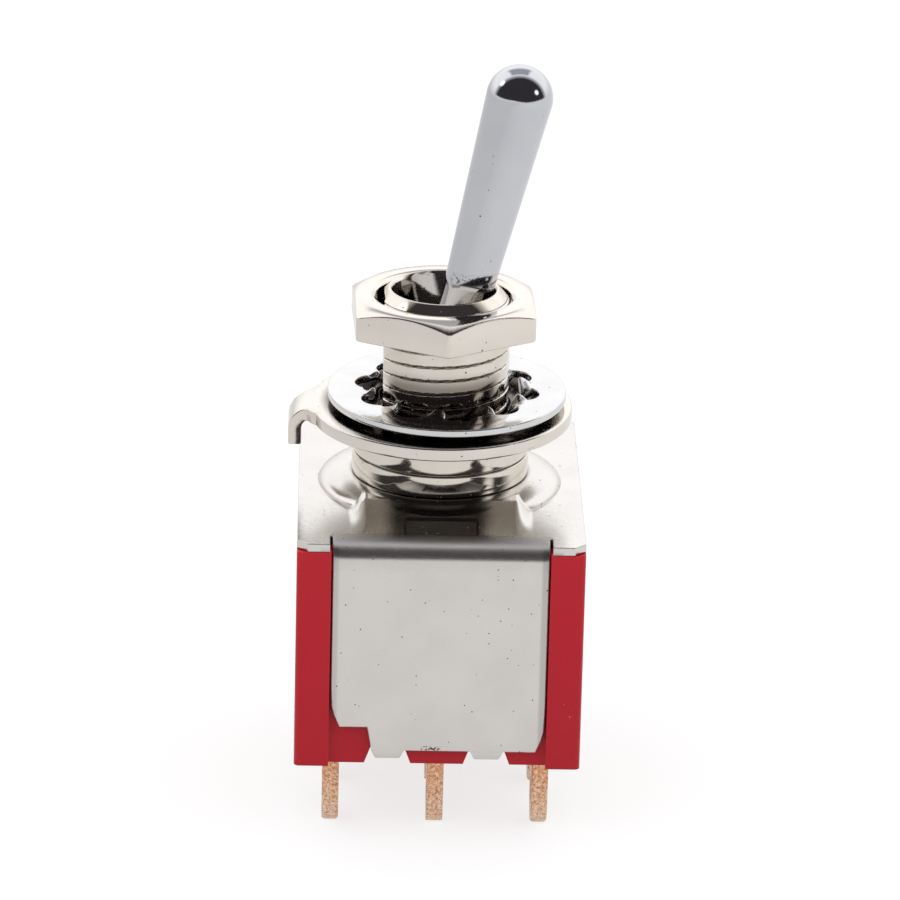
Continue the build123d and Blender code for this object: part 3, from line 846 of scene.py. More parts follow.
@dataclass
class ThreadedBushing:
    """The bushing: a threaded barrel with a keyway flat, a plain lip, and a collar of two lands."""

    height: float = 6.1
    thread_radius: float = 3.0
    pitch: float = 0.635
    groove_depth: float = 0.1
    groove_share: float = 0.17
    groove_floor: float = 0.7
    thread_start: float = 0.1
    thread_end: float = 5.3
    thread_fade: float = 0.3
    thread_step: float = 0.022
    wall_step: float = 0.4
    flat: float = 2.65
    mouth_radius: float = 2.32
    mouth_depth: float = 0.12
    mouth_lead: float = 0.02
    mouth_flare: float = 0.06
    throat: Span = (1.49, 2.738)
    lip_radius: float = 2.46
    lip_foot_radius: float = 2.84
    lip_height: float = 0.4
    lip_land: float = 0.05
    undercut_height: float = 0.11
    undercut_depth: float = 0.06
    undercut_run: float = 0.4
    shoulder_radius: float = 3.97
    shoulder_height: float = 2.5
    seam_height: float = 1.45
    seam_depth: float = 0.1
    seam_mouth: float = 0.05
    seam_floor: float = 0.02
    boss_height: float = 0.55
    neck_radius: float = 3.4
    neck_height: float = 0.95
    rim_radius: float = 3.8
    rim_height: float = 0.4
    bore: Span = (2.05, 2.178)
    columns: int = 192
    edge: float = 0.08

    def profile(self) -> np.ndarray:
        """The closed (r, z) outline of the bushing's wall, from the throat out over the lip.

        Returns:
            The points, in order.
        """
        boss = -self.shoulder_height
        rim_top = boss - self.neck_height + self.boss_height
        foot = rim_top - self.rim_height
        seam, lip_foot = -self.seam_height, self.height - self.lip_height
        # Each corner is (r, z, rounding).
        return rounded_line(
            [
                (*self.throat, 0.1),
                (self.mouth_radius - self.mouth_lead, self.height - self.mouth_depth, 0.05),
                (self.mouth_radius + self.mouth_flare, self.height, 0.05),
                (self.lip_radius, self.height, 0.04),
                (self.lip_foot_radius, lip_foot, 0.04),
                (self.lip_foot_radius, lip_foot - self.lip_land, 0.02),
                (self.thread_radius - self.undercut_depth, lip_foot - self.undercut_height, 0.04),
                (self.thread_radius, lip_foot - self.undercut_run, 0.05),
                (self.thread_radius, 0, 0.03),
                (self.shoulder_radius, 0, self.edge),
                (self.shoulder_radius, seam + self.seam_mouth, self.edge),
                (self.shoulder_radius - self.seam_depth, seam + self.seam_floor, 0.01),
                (self.shoulder_radius - self.seam_depth, seam - self.seam_floor, 0.01),
                (self.shoulder_radius, seam - self.seam_mouth, self.edge),
                (self.shoulder_radius, boss, self.edge),
                (self.neck_radius, boss, 0.01),
                (self.neck_radius, rim_top, 0.01),
                (self.rim_radius, rim_top, 0.03),
                (self.rim_radius, foot, 0.1),
                (self.bore[0], foot, 0.03),
                (*self.bore, 0.03),
            ],
            closed=True,
        )

    def thread(self, grid: np.ndarray) -> np.ndarray:
        """Cut the thread: r falls by depth * clip(1 - |2 frac(z/pitch - a/turn) - 1| / share, 0, f) / f.

        The groove's flat floor is set by f, and the keyway's flat holds x at least at -flat.

        Args:
            grid: the turned surface.

        Returns:
            The surface with the thread and the keyway's flat.
        """
        x, y, z = grid[..., 0], grid[..., 1], grid[..., 2]
        radius = np.hypot(x, y)
        phase = z / self.pitch - np.arctan2(y, x) / TURN
        across = 1 - np.abs(2 * (phase - np.floor(phase)) - 1) / self.groove_share
        groove = np.clip(across, 0, self.groove_floor) / self.groove_floor
        barrel = (
            smooth_step(z, self.thread_start, self.thread_start + self.thread_fade)
            * (1 - smooth_step(z, self.thread_end - self.thread_fade, self.thread_end))
            * (radius > self.thread_radius - 0.2)
            * (z > 0)
        )
        scale = 1 - self.groove_depth * groove * barrel / np.maximum(radius, 1e-6)
        x, y = x * scale, y * scale
        x = np.where(z > 0.001, np.maximum(x, -self.flat), x)
        return np.stack([x, y, z], -1)

    def build(self) -> bpy.types.Object:
        """Turn the outline, with rows close enough together for the thread, and cut it.

        Returns:
            The finished piece.
        """
        shell = Shell()
        outline = self.profile()
        line = refined(np.concatenate([outline, outline[:1]]), self.wall_step)[:-1]
        barrel = (np.abs(line[:, 0] - self.thread_radius) < 0.1) & (line[:, 1] > -0.001)
        first, last = np.flatnonzero(barrel)[[0, -1]]
        fine = refined(line[first : last + 1], self.thread_step)
        line = np.concatenate([line[:first], fine, line[last + 1 :]])
        shell.grid(self.thread(turned(line, even_turn(self.columns))), wrap_rows=True, wrap_columns=True)
        return shell.mesh("threaded_bushing", crisp=60)


@dataclass
class HexNut:
    """The nut: a hexagon turned down at its upper corners, with a chamfered bore."""

    across_flats: float = 8.0
    seat_height: float = 4.3
    thickness: float = 1.55
    turn: float = 2.4
    chamfer_radius: float = 3.85
    chamfer_slope: float = 30.0
    bore_radius: float = 3.05
    bore_chamfer: float = 0.2
    corner_rounding: float = 0.05
    edge: float = 0.025
    columns: int = 144

    def angles(self) -> np.ndarray:
        """Even angles with closer ones beside the six corners.

        Returns:
            The angles, in radians and in order.
        """
        corners = math.radians(self.turn) + math.pi / 6 + np.arange(6) * math.pi / 3
        beside = np.radians(np.array([-3, -2, -1.2, -0.6, -0.25, 0, 0.25, 0.6, 1.2, 2, 3]))
        near = (corners[:, None] + beside).ravel() % TURN
        return np.unique(np.concatenate([even_turn(self.columns), near]))

    def build(self) -> bpy.types.Object:
        """Carry the wall's outline round: the radius is that of the hexagon at each angle.

        R(a) = (flats / 2) / cos(angle from the nearest side's middle), held under the
        corner's rounding; the chamfer's height is top - (R - chamfer radius) tan(slope).

        Returns:
            The finished piece.
        """
        a = self.angles()
        side = (a - math.radians(self.turn) + math.pi / 6) % (math.pi / 3) - math.pi / 6
        outer = self.across_flats / 2 / np.cos(side)
        outer = np.minimum(outer, self.across_flats / 2 / math.cos(math.pi / 6) - self.corner_rounding)
        top = self.seat_height + self.thickness
        slope = math.tan(math.radians(self.chamfer_slope))
        shoulder = top - (outer - self.chamfer_radius) * slope
        foot, e, land = self.seat_height, self.edge, self.chamfer_radius
        bore, cut = self.bore_radius, self.bore_chamfer
        # Each row is (r, z): over the foot's rounding, up the side, over the chamfer and down the bore.
        rows = [
            (bore + cut, foot),
            (outer - 0.25, foot),
            (outer - 0.08, foot + 0.01),
            (outer - 0.02, foot + 0.04),
            (outer, foot + 0.12),
            (outer, shoulder - e),
            (outer - 0.3 * e, shoulder - 0.2 * e),
            (outer - e, shoulder + e * slope),
            (land + e, top - e * slope),
            (land, top - 0.01),
            (land - 0.8 * e, top),
            (bore + cut + 0.06, top),
            (bore + cut - 0.02, top - 0.02),
            (bore + 0.5 * cut, top - 0.35 * cut),
            (bore, top - 0.8 * cut),
            (bore, foot + cut),
        ]
        r, z = (np.array([np.broadcast_to(row[k], a.shape) for row in rows]) for k in (0, 1))
        shell = Shell()
        shell.grid(around(r, a, z), wrap_rows=True, wrap_columns=True)
        return shell.mesh("hex_nut_finished", crisp=30)


def scalloped(
    angles: np.ndarray, centre_radius: float, scallop: float, first: float, count: int
) -> tuple[np.ndarray, np.ndarray]:
    """How far a ring of round scallops reaches inwards and outwards at each angle.

    At an angle d from a scallop's centre the circle of radius s about radius c spans
    c cos d -+ sqrt(s^2 - c^2 sin^2 d).

    Args:
        angles: the angles, in radians.
        centre_radius: c, of the circle that the scallops' centres lie on.
        scallop: s, the scallops' radius.
        first: the first scallop's angle, in radians.
        count: how many there are.

    Returns:
        The inner and outer reach, both c itself where no scallop is.
    """
    step = TURN / count
    d = (angles - first + step / 2) % step - step / 2
    root = np.sqrt(np.maximum(scallop**2 - (centre_radius * np.sin(d)) ** 2, 0))
    along = np.where(root > 0, centre_radius * np.cos(d), centre_radius)
    return along - root, along + root


@dataclass
class LockWasher:
    """The internal-tooth washer: a flat band with round gullets and ten twisted teeth."""

    radius: float = 5.35
    thickness: float = 0.35
    shift: Span = (0.24, 0.06)
    tilt: float = 1.2
    lift: float = 0.09
    turn: float = -10.0
    teeth: int = 10
    tooth_width: float = 1.1
    twist: float = 34.0
    root_width: float = 1.0
    tip_radius: float = 3.25
    gullet_radius: float = 0.82
    gullet_circle: float = 3.35
    band_radius: float = 3.75
    seat_height: float = 0.62
    edge: float = 0.06
    tooth_edge: float = 0.1
    tooth_lead: float = 0.12
    tooth_overlap: float = 0.25
    tooth_rows: int = 30
    columns: int = 900

    def middle(self) -> float:
        """The height of the band's middle, set by how far the teeth stand out over the ring.

        Returns:
            The height above the shoulder.
        """
        twist = math.radians(self.twist)
        reach = self.tooth_width / 2 * math.sin(twist) + self.thickness / 2 * math.cos(twist)
        return self.seat_height + reach

    def band(self) -> np.ndarray:
        """The band: a rounded rectangle between the scalloped inner edge and the rim.

        Returns:
            The band's grid, closed both ways.
        """
        angles, first = even_turn(self.columns), math.radians(self.turn)
        _, reach = scalloped(angles, self.gullet_circle, self.gullet_radius, first, self.teeth)
        inner = np.maximum(reach, self.band_radius)
        across, up = rounded_section((self.radius - inner) / 2, self.thickness / 2, self.edge)
        return around((self.radius + inner)[:, None] / 2 + across, angles[:, None], up)

    def tooth(self, angle: float) -> np.ndarray:
        """One tooth: a rounded rectangle carried inwards along a radius while it twists.

        The twist is complete a lead before the tip and starts a lead inside the band, where
        the tooth is sunk below the band's faces. The tip is rounded off over the last rows.

        Args:
            angle: the tooth's angle, in radians.

        Returns:
            The tooth's grid, closed at its tip.
        """
        root, tip, lead = self.band_radius, self.tip_radius, self.tooth_lead
        end = tip + np.array([0.09, 0.05, 0.02, 0, 0])
        r = np.concatenate([np.linspace(root + self.tooth_overlap, tip + lead, self.tooth_rows), end])
        shrink = np.concatenate([np.ones(self.tooth_rows), [0.97, 0.9, 0.76, 0.5, 0.0]])
        flare = smooth_step(r, root - 0.2, root + 0.15)
        half = self.tooth_width / 2 * (1 - flare) + self.root_width / 2 * flare
        across, up = rounded_section(half, self.thickness / 2, self.tooth_edge)
        buried = smooth_step(r, root + 0.1, root + self.tooth_overlap)
        sunk = 1 - 0.015 * smooth_step(r, root - 0.1, root) - 0.3 * buried
        across, up = across * shrink[:, None], up * (shrink * sunk)[:, None]
        turn = math.radians(self.twist) * (1 - smooth_step(r, tip + lead, root + lead))[:, None]
        along = across * np.cos(turn) - up * np.sin(turn)
        rise = across * np.sin(turn) + up * np.cos(turn)
        outward = np.array([math.cos(angle), math.sin(angle)])
        sideways = np.array([-math.sin(angle), math.cos(angle)])
        flat = r[:, None, None] * outward + along[..., None] * sideways
        return np.concatenate([flat, rise[..., None]], -1)

    def build(self) -> bpy.types.Object:
        """Gather the band and its teeth, a little off the axis and leaning a little forward.

        Returns:
            The finished piece.
        """
        shell = Shell()
        place = np.array([*self.shift, self.middle() + self.lift])
        shell.grid(leaned(self.band(), self.tilt, "X") + place, wrap_rows=True, wrap_columns=True)
        for k in range(self.teeth):
            angle = math.radians(self.turn) + (k + 0.5) * TURN / self.teeth
            shell.grid(leaned(self.tooth(angle), self.tilt, "X") + place, wrap_columns=True)
        return shell.mesh("tooth_washer", crisp=50)


@dataclass
class LocatingRing:
    """The keyed ring: a flat ring whose bore has a flat, and a tab folded down outside."""

    radius: float = 5.87
    thickness: float = 0.6
    bore_radius: float = 3.1
    key_flat: float = 2.75
    tab_width: float = 2.1
    tab_flare: float = 0.7
    tab_taper: float = 0.12
    tab_reach: float = 6.85
    tab_drop: float = 1.2
    tab_bend: float = 1.0
    tab_overlap: float = 0.5
    tab_blend: float = 0.35
    relief_radius: float = 0.02
    columns: int = 360
    tilt: float = 1.2
    lift: float = 0.09
    edge: float = 0.09

    def plate(self) -> np.ndarray:
        """The ring: a rounded rectangle between the keyed bore and the rim with its reliefs.

        Returns:
            The ring's grid, closed both ways.
        """
        relief = math.asin(self.tab_width / 2 / self.radius)
        beside = math.pi + np.array([-relief, relief])
        near = np.linspace(-0.06, 0.06, 41)
        angles = np.unique(np.concatenate([even_turn(self.columns), (beside[:, None] + near).ravel()]))
        outer = np.full_like(angles, self.radius)
        for side in beside:
            inner, reach = scalloped(angles, self.radius, self.relief_radius, side, 1)
            outer = np.where(reach > inner, np.minimum(outer, inner), outer)
        key = self.key_flat / np.maximum(-np.cos(angles), 1e-6)
        bore = np.where(np.cos(angles) < 0, np.minimum(self.bore_radius, key), self.bore_radius)
        across, up = rounded_section((outer - bore) / 2, self.thickness / 2, self.edge)
        return around((outer + bore)[:, None] / 2 + across, angles[:, None], up + self.thickness / 2)

    def tab(self) -> np.ndarray:
        """The tab: a rounded rectangle that flares into the rim, carried round a bend and down.

        Returns:
            The tab's grid, closed at its lower end.
        """
        half = self.thickness / 2
        middle = self.tab_bend - half
        bend = np.linspace(0, math.pi / 2, 14)
        corner, bend_foot = -self.tab_reach + self.tab_bend, self.thickness - self.tab_bend
        root = np.linspace(-self.radius + self.tab_overlap, corner, 9)[:-1]
        drop = np.linspace(bend_foot, -self.tab_drop + 0.05, 12)
        drop = np.concatenate([drop, [-self.tab_drop + 0.015, -self.tab_drop]])
        x = np.concatenate([root, corner - middle * np.sin(bend), np.full_like(drop, -self.tab_reach + half)])
        z = np.concatenate([np.full_like(root, half), bend_foot + middle * np.cos(bend), drop])
        tilt = np.concatenate([np.zeros_like(root), bend, np.full_like(drop, math.pi / 2)])[:, None]
        shrink = np.concatenate([np.full(len(x) - 2, 0.985), [0.93, 0.8]])
        blend = smooth_step(-x, self.radius - self.tab_blend, self.radius + self.tab_blend)
        flare = self.tab_flare * (1 - blend)
        taper = self.tab_taper * smooth_step(-z, -self.thickness, self.tab_drop)
        across, up = rounded_section(self.tab_width / 2 + flare - taper, half, self.edge)
        up = up * shrink[:, None]
        grid = np.stack([x[:, None] - up * np.sin(tilt), across, z[:, None] + up * np.cos(tilt)], -1)
        end = grid[-1:].mean(1, keepdims=True) + np.zeros_like(grid[-1:])
        return np.concatenate([grid, end])

    def build(self) -> bpy.types.Object:
        """Gather the ring and its tab, leaning a little forward on the bushing's shoulder.

        Returns:
            The finished piece.
        """
        shell = Shell()
        place = np.array([0, 0, self.lift])
        shell.grid(leaned(self.plate(), self.tilt, "X") + place, wrap_rows=True, wrap_columns=True)
        shell.grid(leaned(self.tab(), self.tilt, "X") + place, wrap_columns=True)
        return shell.mesh("keyed_ring", crisp=50)


def mirrored(half: np.ndarray) -> np.ndarray:
    """Places on one side of the middle, with their opposites, in order and without doubles."""
    return np.unique(np.round(np.concatenate([-half, half]), 4))


@dataclass
class FoldedFrame:
    """The frame: one sheet pressed into a boss and a saddle and folded down at both ends."""

    half_width: float = 6.35
    half_depth: float = 8.3
    boss_top: float = -2.5
    plate_top: float = -3.05
    sheet: float = 0.36
    hole_radius: float = 3.45
    boss_flat: float = 4.0
    boss_radius: float = 5.45
    boss_foot: float = 0.1
    plate_hole: float = 4.6
    saddle_half: float = 4.1
    saddle_draft: float = 0.8
    saddle_end: float = 7.5
    saddle_power: float = 1.6
    saddle_drop: float = 0.01
    window_half: float = 1.6
    window_start: float = 5.5
    window_end: float = 7.0
    window_depth: float = 0.09
    window_edge: float = 0.03
    strip_half: float = 4.77
    strip_face: float = 8.24
    bend: float = 0.8
    fold_reach: float = 1.3
    strip_foot: float = -12.84
    relief_width: float = 0.12
    relief_depth: float = 1.0
    plate_chamfer: float = 0.5
    step_height: float = 1.1
    step_width: float = 1.65
    step_slope: float = 0.2
    corner_width: float = 0.42
    corner_height: float = 0.9
    border: float = 0.4
    border_drop: float = 0.08
    foot_curl: float = 0.04
    tab_places: Span = (-2.2, 2.2)
    tab_setback: float = 0.045
    tab_bend: float = 0.57
    tab_root: float = 0.725
    tab_tip: float = 0.485
    tab_length: float = 1.5
    column_step: float = 0.13
    row_step: float = 0.11
    crisp: float = 35.0

    @property
    def fold_start(self) -> float:
        """How far from the middle the strip starts to turn down."""
        return self.strip_face - self.fold_reach

    @property
    def slot_start(self) -> float:
        """How far from the middle the slots beside the folds start."""
        return self.half_depth - self.relief_depth

    def height(self, x: np.ndarray, y: np.ndarray) -> np.ndarray:
        """The plate's height: the saddle, less the stamped windows.

        With s the share of the way from the boss's flat to the saddle's end, the saddle
        stands rise (1 - s)^power high between its two rolled walls. Towards the folds the
        strip falls by bend (1 - sqrt(1 - u^2)), with u the share of the fold's reach.

        Args:
            x: places across.
            y: places from front to back.

        Returns:
            Heights in the part's frame.
        """
        rise = self.boss_top - self.plate_top
        s = np.clip((np.abs(y) - self.boss_flat) / (self.saddle_end - self.boss_flat), 0, 1)
        wall = smooth_step(self.saddle_half - np.abs(x), 0, self.saddle_draft)
        top = self.plate_top + (rise - self.saddle_drop) * (1 - s) ** self.saddle_power * wall
        inside = np.minimum.reduce(
            [self.window_half - np.abs(x), np.abs(y) - self.window_start, self.window_end - np.abs(y)]
        )
        window = smooth_step(inside, -self.window_edge, self.window_edge)
        near = np.clip((np.abs(y) - self.fold_start) / self.fold_reach, 0, 1)
        beside = smooth_step(np.abs(x), self.strip_half, self.strip_half + self.relief_width)
        fold = self.bend * (1 - np.sqrt(1 - near**2)) * (1 - beside)
        return top - self.window_depth * window - fold

    def dome(self) -> np.ndarray:
        """The boss: flat round the bushing, then a quarter ellipse down to the plate and under it.

        Returns:
            The boss's outer surface.
        """
        a = np.linspace(0, math.pi / 2, 25)
        run, rise = self.boss_radius - self.boss_flat, self.boss_top - self.plate_top
        bulge = np.stack([self.boss_flat + run * np.sin(a), self.plate_top + rise * np.cos(a)], 1)
        flat = np.array([[self.hole_radius, self.boss_top], [self.boss_flat - 0.2, self.boss_top]])
        foot = np.array([[self.boss_radius, self.plate_top - self.boss_foot]])
        return turned(np.concatenate([flat, bulge, foot]), even_turn(240))

    def foot_lift(self, x: np.ndarray, end: float) -> np.ndarray:
        """How far the flange's edge lies above its foot: a step on its left, a chamfer on its right.

        Args:
            x: places across.
            end: -1 for the front flange, 1 for the rear.

        Returns:
            The lift at each place.
        """
        edge, step, corner = self.strip_half, self.step_width, self.corner_width
        knots = [-edge, corner - edge, step - edge, step + self.step_slope - edge, edge - corner, edge]
        high, cut = self.step_height, self.corner_height
        return np.interp(-end * x, knots, [high + cut, high, high, 0, 0, cut])

    def columns(self) -> np.ndarray:
        """Places across the strip, closer together at the saddle's walls, window and edges.

        Returns:
            The places, in order.
        """
        half = np.concatenate(
            [
                np.arange(0, self.strip_half, self.column_step),
                [self.strip_half],
                np.linspace(self.saddle_half - self.saddle_draft, self.saddle_half, 13),
                self.window_half + np.array([-0.04, -0.02, 0, 0.02, 0.04]),
                self.strip_half - self.border * np.linspace(0, 1, 6) ** 1.5,
                self.strip_half - self.corner_width - np.array([0, 0.02]),
                self.strip_half - self.step_width + np.array([-0.2, 0, 0.01]),
            ]
        )
        return mirrored(half)

    def flat_rows(self) -> np.ndarray:
        """Places from front to back over the flat part that the wings share.

        Returns:
            The places, in order.
        """
        reach = self.slot_start
        half = np.concatenate(
            [
                np.arange(0, reach, self.row_step),
                [reach],
                np.linspace(self.window_start - 0.5, self.window_start + 0.05, 12),
                reach + np.array([-0.04, -0.02]),
            ]
        )
        return mirrored(half)

    def strip(self) -> np.ndarray:
        """The middle strip: flat rows over the top, then a quarter bend and a flange at each end.

        Returns:
            The strip's outer surface, from the front flange's foot to the rear one's.
        """
        x = self.columns()
        flat = self.flat_rows()
        y = np.broadcast_to(flat[:, None], (len(flat), len(x)))
        xx = np.broadcast_to(x, y.shape)
        top = np.stack([xx, y, self.height(xx, y)], -1)
        edge = np.clip(1 - (self.strip_half - np.abs(x)) / self.border, 0, 1) ** 2
        drop = self.border_drop * edge
        ends = []
        for end in (-1, 1):
            first = math.asin((self.slot_start - self.fold_start) / self.fold_reach)
            a = np.linspace(first, math.pi / 2, 17)[:, None]
            bend_y = self.fold_start + (self.fold_reach - drop * np.sin(a) ** 2) * np.sin(a)
            bend_z = np.broadcast_to(self.plate_top - self.bend * (1 - np.cos(a)), bend_y.shape)
            bend_rows = np.stack([np.broadcast_to(x, bend_y.shape), end * bend_y, bend_z], -1)
            foot = self.strip_foot + self.foot_lift(x, end)
            share = np.concatenate([np.linspace(0, 1, 26)[1:-4], [0.97, 0.985, 0.994, 1.0]])[:, None]
            face_z = (self.plate_top - self.bend) * (1 - share) + foot * share
            curl = self.foot_curl * smooth_step(share, 0.965, 1.0)
            face_y = self.strip_face - drop - curl
            face_rows = np.stack([np.broadcast_to(x, face_z.shape), end * face_y, face_z], -1)
            ends.append(np.concatenate([bend_rows[1:], face_rows]))
        return np.concatenate([ends[0][::-1], top, ends[1]])

    def wings(self, shell: Shell) -> None:
        """Add the plate beside the strip, with the slots beside the folds and cut corners.

        Args:
            shell: the frame's shell.
        """
        reach, chamfer = self.slot_start, self.half_width - self.plate_chamfer
        slot = self.strip_half + self.relief_width
        inner = np.linspace(self.strip_half, slot, 4)
        outer = np.unique(np.concatenate([np.linspace(slot, self.half_width, 12), [chamfer]]))
        flat = self.flat_rows()[:, None]
        past = np.linspace(0, 1, 8)[1:]
        limit = np.minimum(self.half_depth, self.half_depth + chamfer - outer)
        beyond = reach + past[:, None] * (limit - reach)
        y_inner, y_outer = (np.repeat(flat, len(x), 1) for x in (inner, outer))
        y_outer = np.concatenate([-beyond[::-1], y_outer, beyond])
        for side in (-1, 1):
            for x, y in ((inner, y_inner), (outer, y_outer)):
                xx = np.broadcast_to(side * x, y.shape)
                shell.grid(np.stack([xx, y, self.height(xx, y)], -1))

    def crimp_tab(self, x: float, end: int) -> np.ndarray:
        """One tab: a quarter bend under the flange and a flat run inwards, narrowing down the bend.

        Args:
            x: the tab's place across.
            end: -1 for the front, 1 for the rear.

        Returns:
            The tab's outer surface.
        """
        a = np.linspace(0, math.pi / 2, 9)
        radius, face = self.tab_bend, self.strip_face - self.tab_setback
        y = np.concatenate([[face - 0.05], face - radius * (1 - np.cos(a)), [face - self.tab_length]])
        z = np.concatenate(
            [[self.strip_foot + 0.25], self.strip_foot - radius * np.sin(a), [self.strip_foot - radius]]
        )
        fall = np.clip((self.strip_foot - z) / radius, 0, 1)
        half = self.tab_root + (self.tab_tip - self.tab_root) * fall
        across = np.linspace(-1, 1, 9)
        return np.stack(np.broadcast_arrays(x + half[:, None] * across, end * y[:, None], z[:, None]), -1)

    def build(self) -> bpy.types.Object:
        """Weld the strip and wings, set the boss over their hole, and give each sheet its wall.

        Returns:
            The finished piece.
        """
        plate, boss, tabs = Shell(), Shell(), Shell()
        plate.grid(self.strip())
        self.wings(plate)
        plate.open_round(self.plate_hole)
        boss.grid(self.dome(), wrap_columns=True)
        for end in (-1, 1):
            for place in self.tab_places:
                tabs.grid(self.crimp_tab(place, end))
        piece, *others = (
            self.sheet_piece(shell, name)
            for shell, name in ((plate, "folded_frame"), (boss, "boss"), (tabs, "crimp_tabs"))
        )
        work = bmesh.new()
        work.from_mesh(piece.data)
        for other in others:
            work.from_mesh(other.data)
            bpy.data.objects.remove(other)
        work.to_mesh(piece.data)
        work.free()
        piece.data.set_sharp_from_angle(angle=math.radians(self.crisp))
        return piece

    def sheet_piece(self, shell: Shell, name: str) -> bpy.types.Object:
        """Turn an open sheet's faces away from the switch's middle, and give it its wall inwards.

        Args:
            shell: the sheet's outer surface.
            name: the piece's name.

        Returns:
            The sheet as a piece of its own.
        """
        piece = shell.mesh(name, self.crisp)
        data = piece.data
        centres, normals = np.zeros((2, len(data.polygons) * 3))
        data.polygons.foreach_get("center", centres)
        data.polygons.foreach_get("normal", normals)
        middle = np.array([0, 0, self.strip_foot * MM / 2])
        if ((centres.reshape(-1, 3) - middle) * normals.reshape(-1, 3)).sum() < 0:
            data.flip_normals()
        wall = piece.modifiers.new("wall", "SOLIDIFY")
        wall.thickness, wall.offset = self.sheet * MM, -1
        settle(piece, self.crisp)
        return piece


@dataclass
class SoftenedSolid:
    """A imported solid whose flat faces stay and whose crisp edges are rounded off, width deep."""

    width: float
    steps: int = 3
    flat: float = 2.0
    crisp: float = 35.0

    def build(self, node: bpy.types.Object, name: str) -> bpy.types.Object:
        """Merge the flat faces of a copy of the solid's mesh and bevel its crisp edges.

        Args:
            node: the CAD node.
            name: the finished piece's name.

        Returns:
            The finished piece.
        """
        work = bmesh.new()
        work.from_mesh(node.data)
        bmesh.ops.remove_doubles(work, verts=work.verts, dist=WELD)
        flat = math.radians(self.flat)
        bmesh.ops.dissolve_limit(work, angle_limit=flat, verts=work.verts, edges=work.edges)
        data = bpy.data.meshes.new(name)
        work.to_mesh(data)
        work.free()
        piece = placed(name, data)
        bevel = piece.modifiers.new("rounding", "BEVEL")
        bevel.width, bevel.segments = self.width * MM, self.steps
        bevel.limit_method, bevel.angle_limit = "ANGLE", math.radians(self.crisp)
        settle(piece, self.crisp)
        return piece


@dataclass
class CoilSpring:
    """A round-wire spring, wound between the ends of its imported solid."""

    radius: float = 0.58
    wire: float = 0.1
    turns: int = 3
    rings: int = 97
    sides: int = 12
    ceiling: float = -6.0
    travel: float = 0.4

    def build(self, node: bpy.types.Object, name: str) -> bpy.types.Object:
        """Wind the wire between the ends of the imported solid: a circle carried along a helix.

        Args:
            node: the CAD node.
            name: the finished piece's name.

        Returns:
            The finished piece.
        """
        corners = np.array([tuple(vertex.co) for vertex in node.data.vertices]) / MM
        low, high = corners.min(0), corners.max(0)
        foot, head = low[2] + self.wire, high[2] - self.wire
        share = np.concatenate([[0, 0], np.linspace(0, 1, self.rings), [1, 1]])[:, None]
        shrink = np.concatenate([[0, 0.6], np.ones(self.rings), [0.6, 0]])[:, None]
        section = even_turn(self.sides)
        out = self.radius + self.wire * shrink * np.cos(section)
        rise = foot + (head - foot) * share + self.wire * shrink * np.sin(section)
        middle = np.array([(low[0] + high[0]) / 2, (low[1] + high[1]) / 2, 0])
        shell = Shell()
        shell.grid(middle + around(out, TURN * self.turns * share, rise), wrap_columns=True)
        return shell.mesh(name, crisp=50)

    def shorten(self, coil: bpy.types.Object) -> None:
        """Give the spring a mesh of its own.

        Args:
            coil: the finished spring.
        """
        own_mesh(coil)


# ---- The whole switch -------------------------------------------------------------


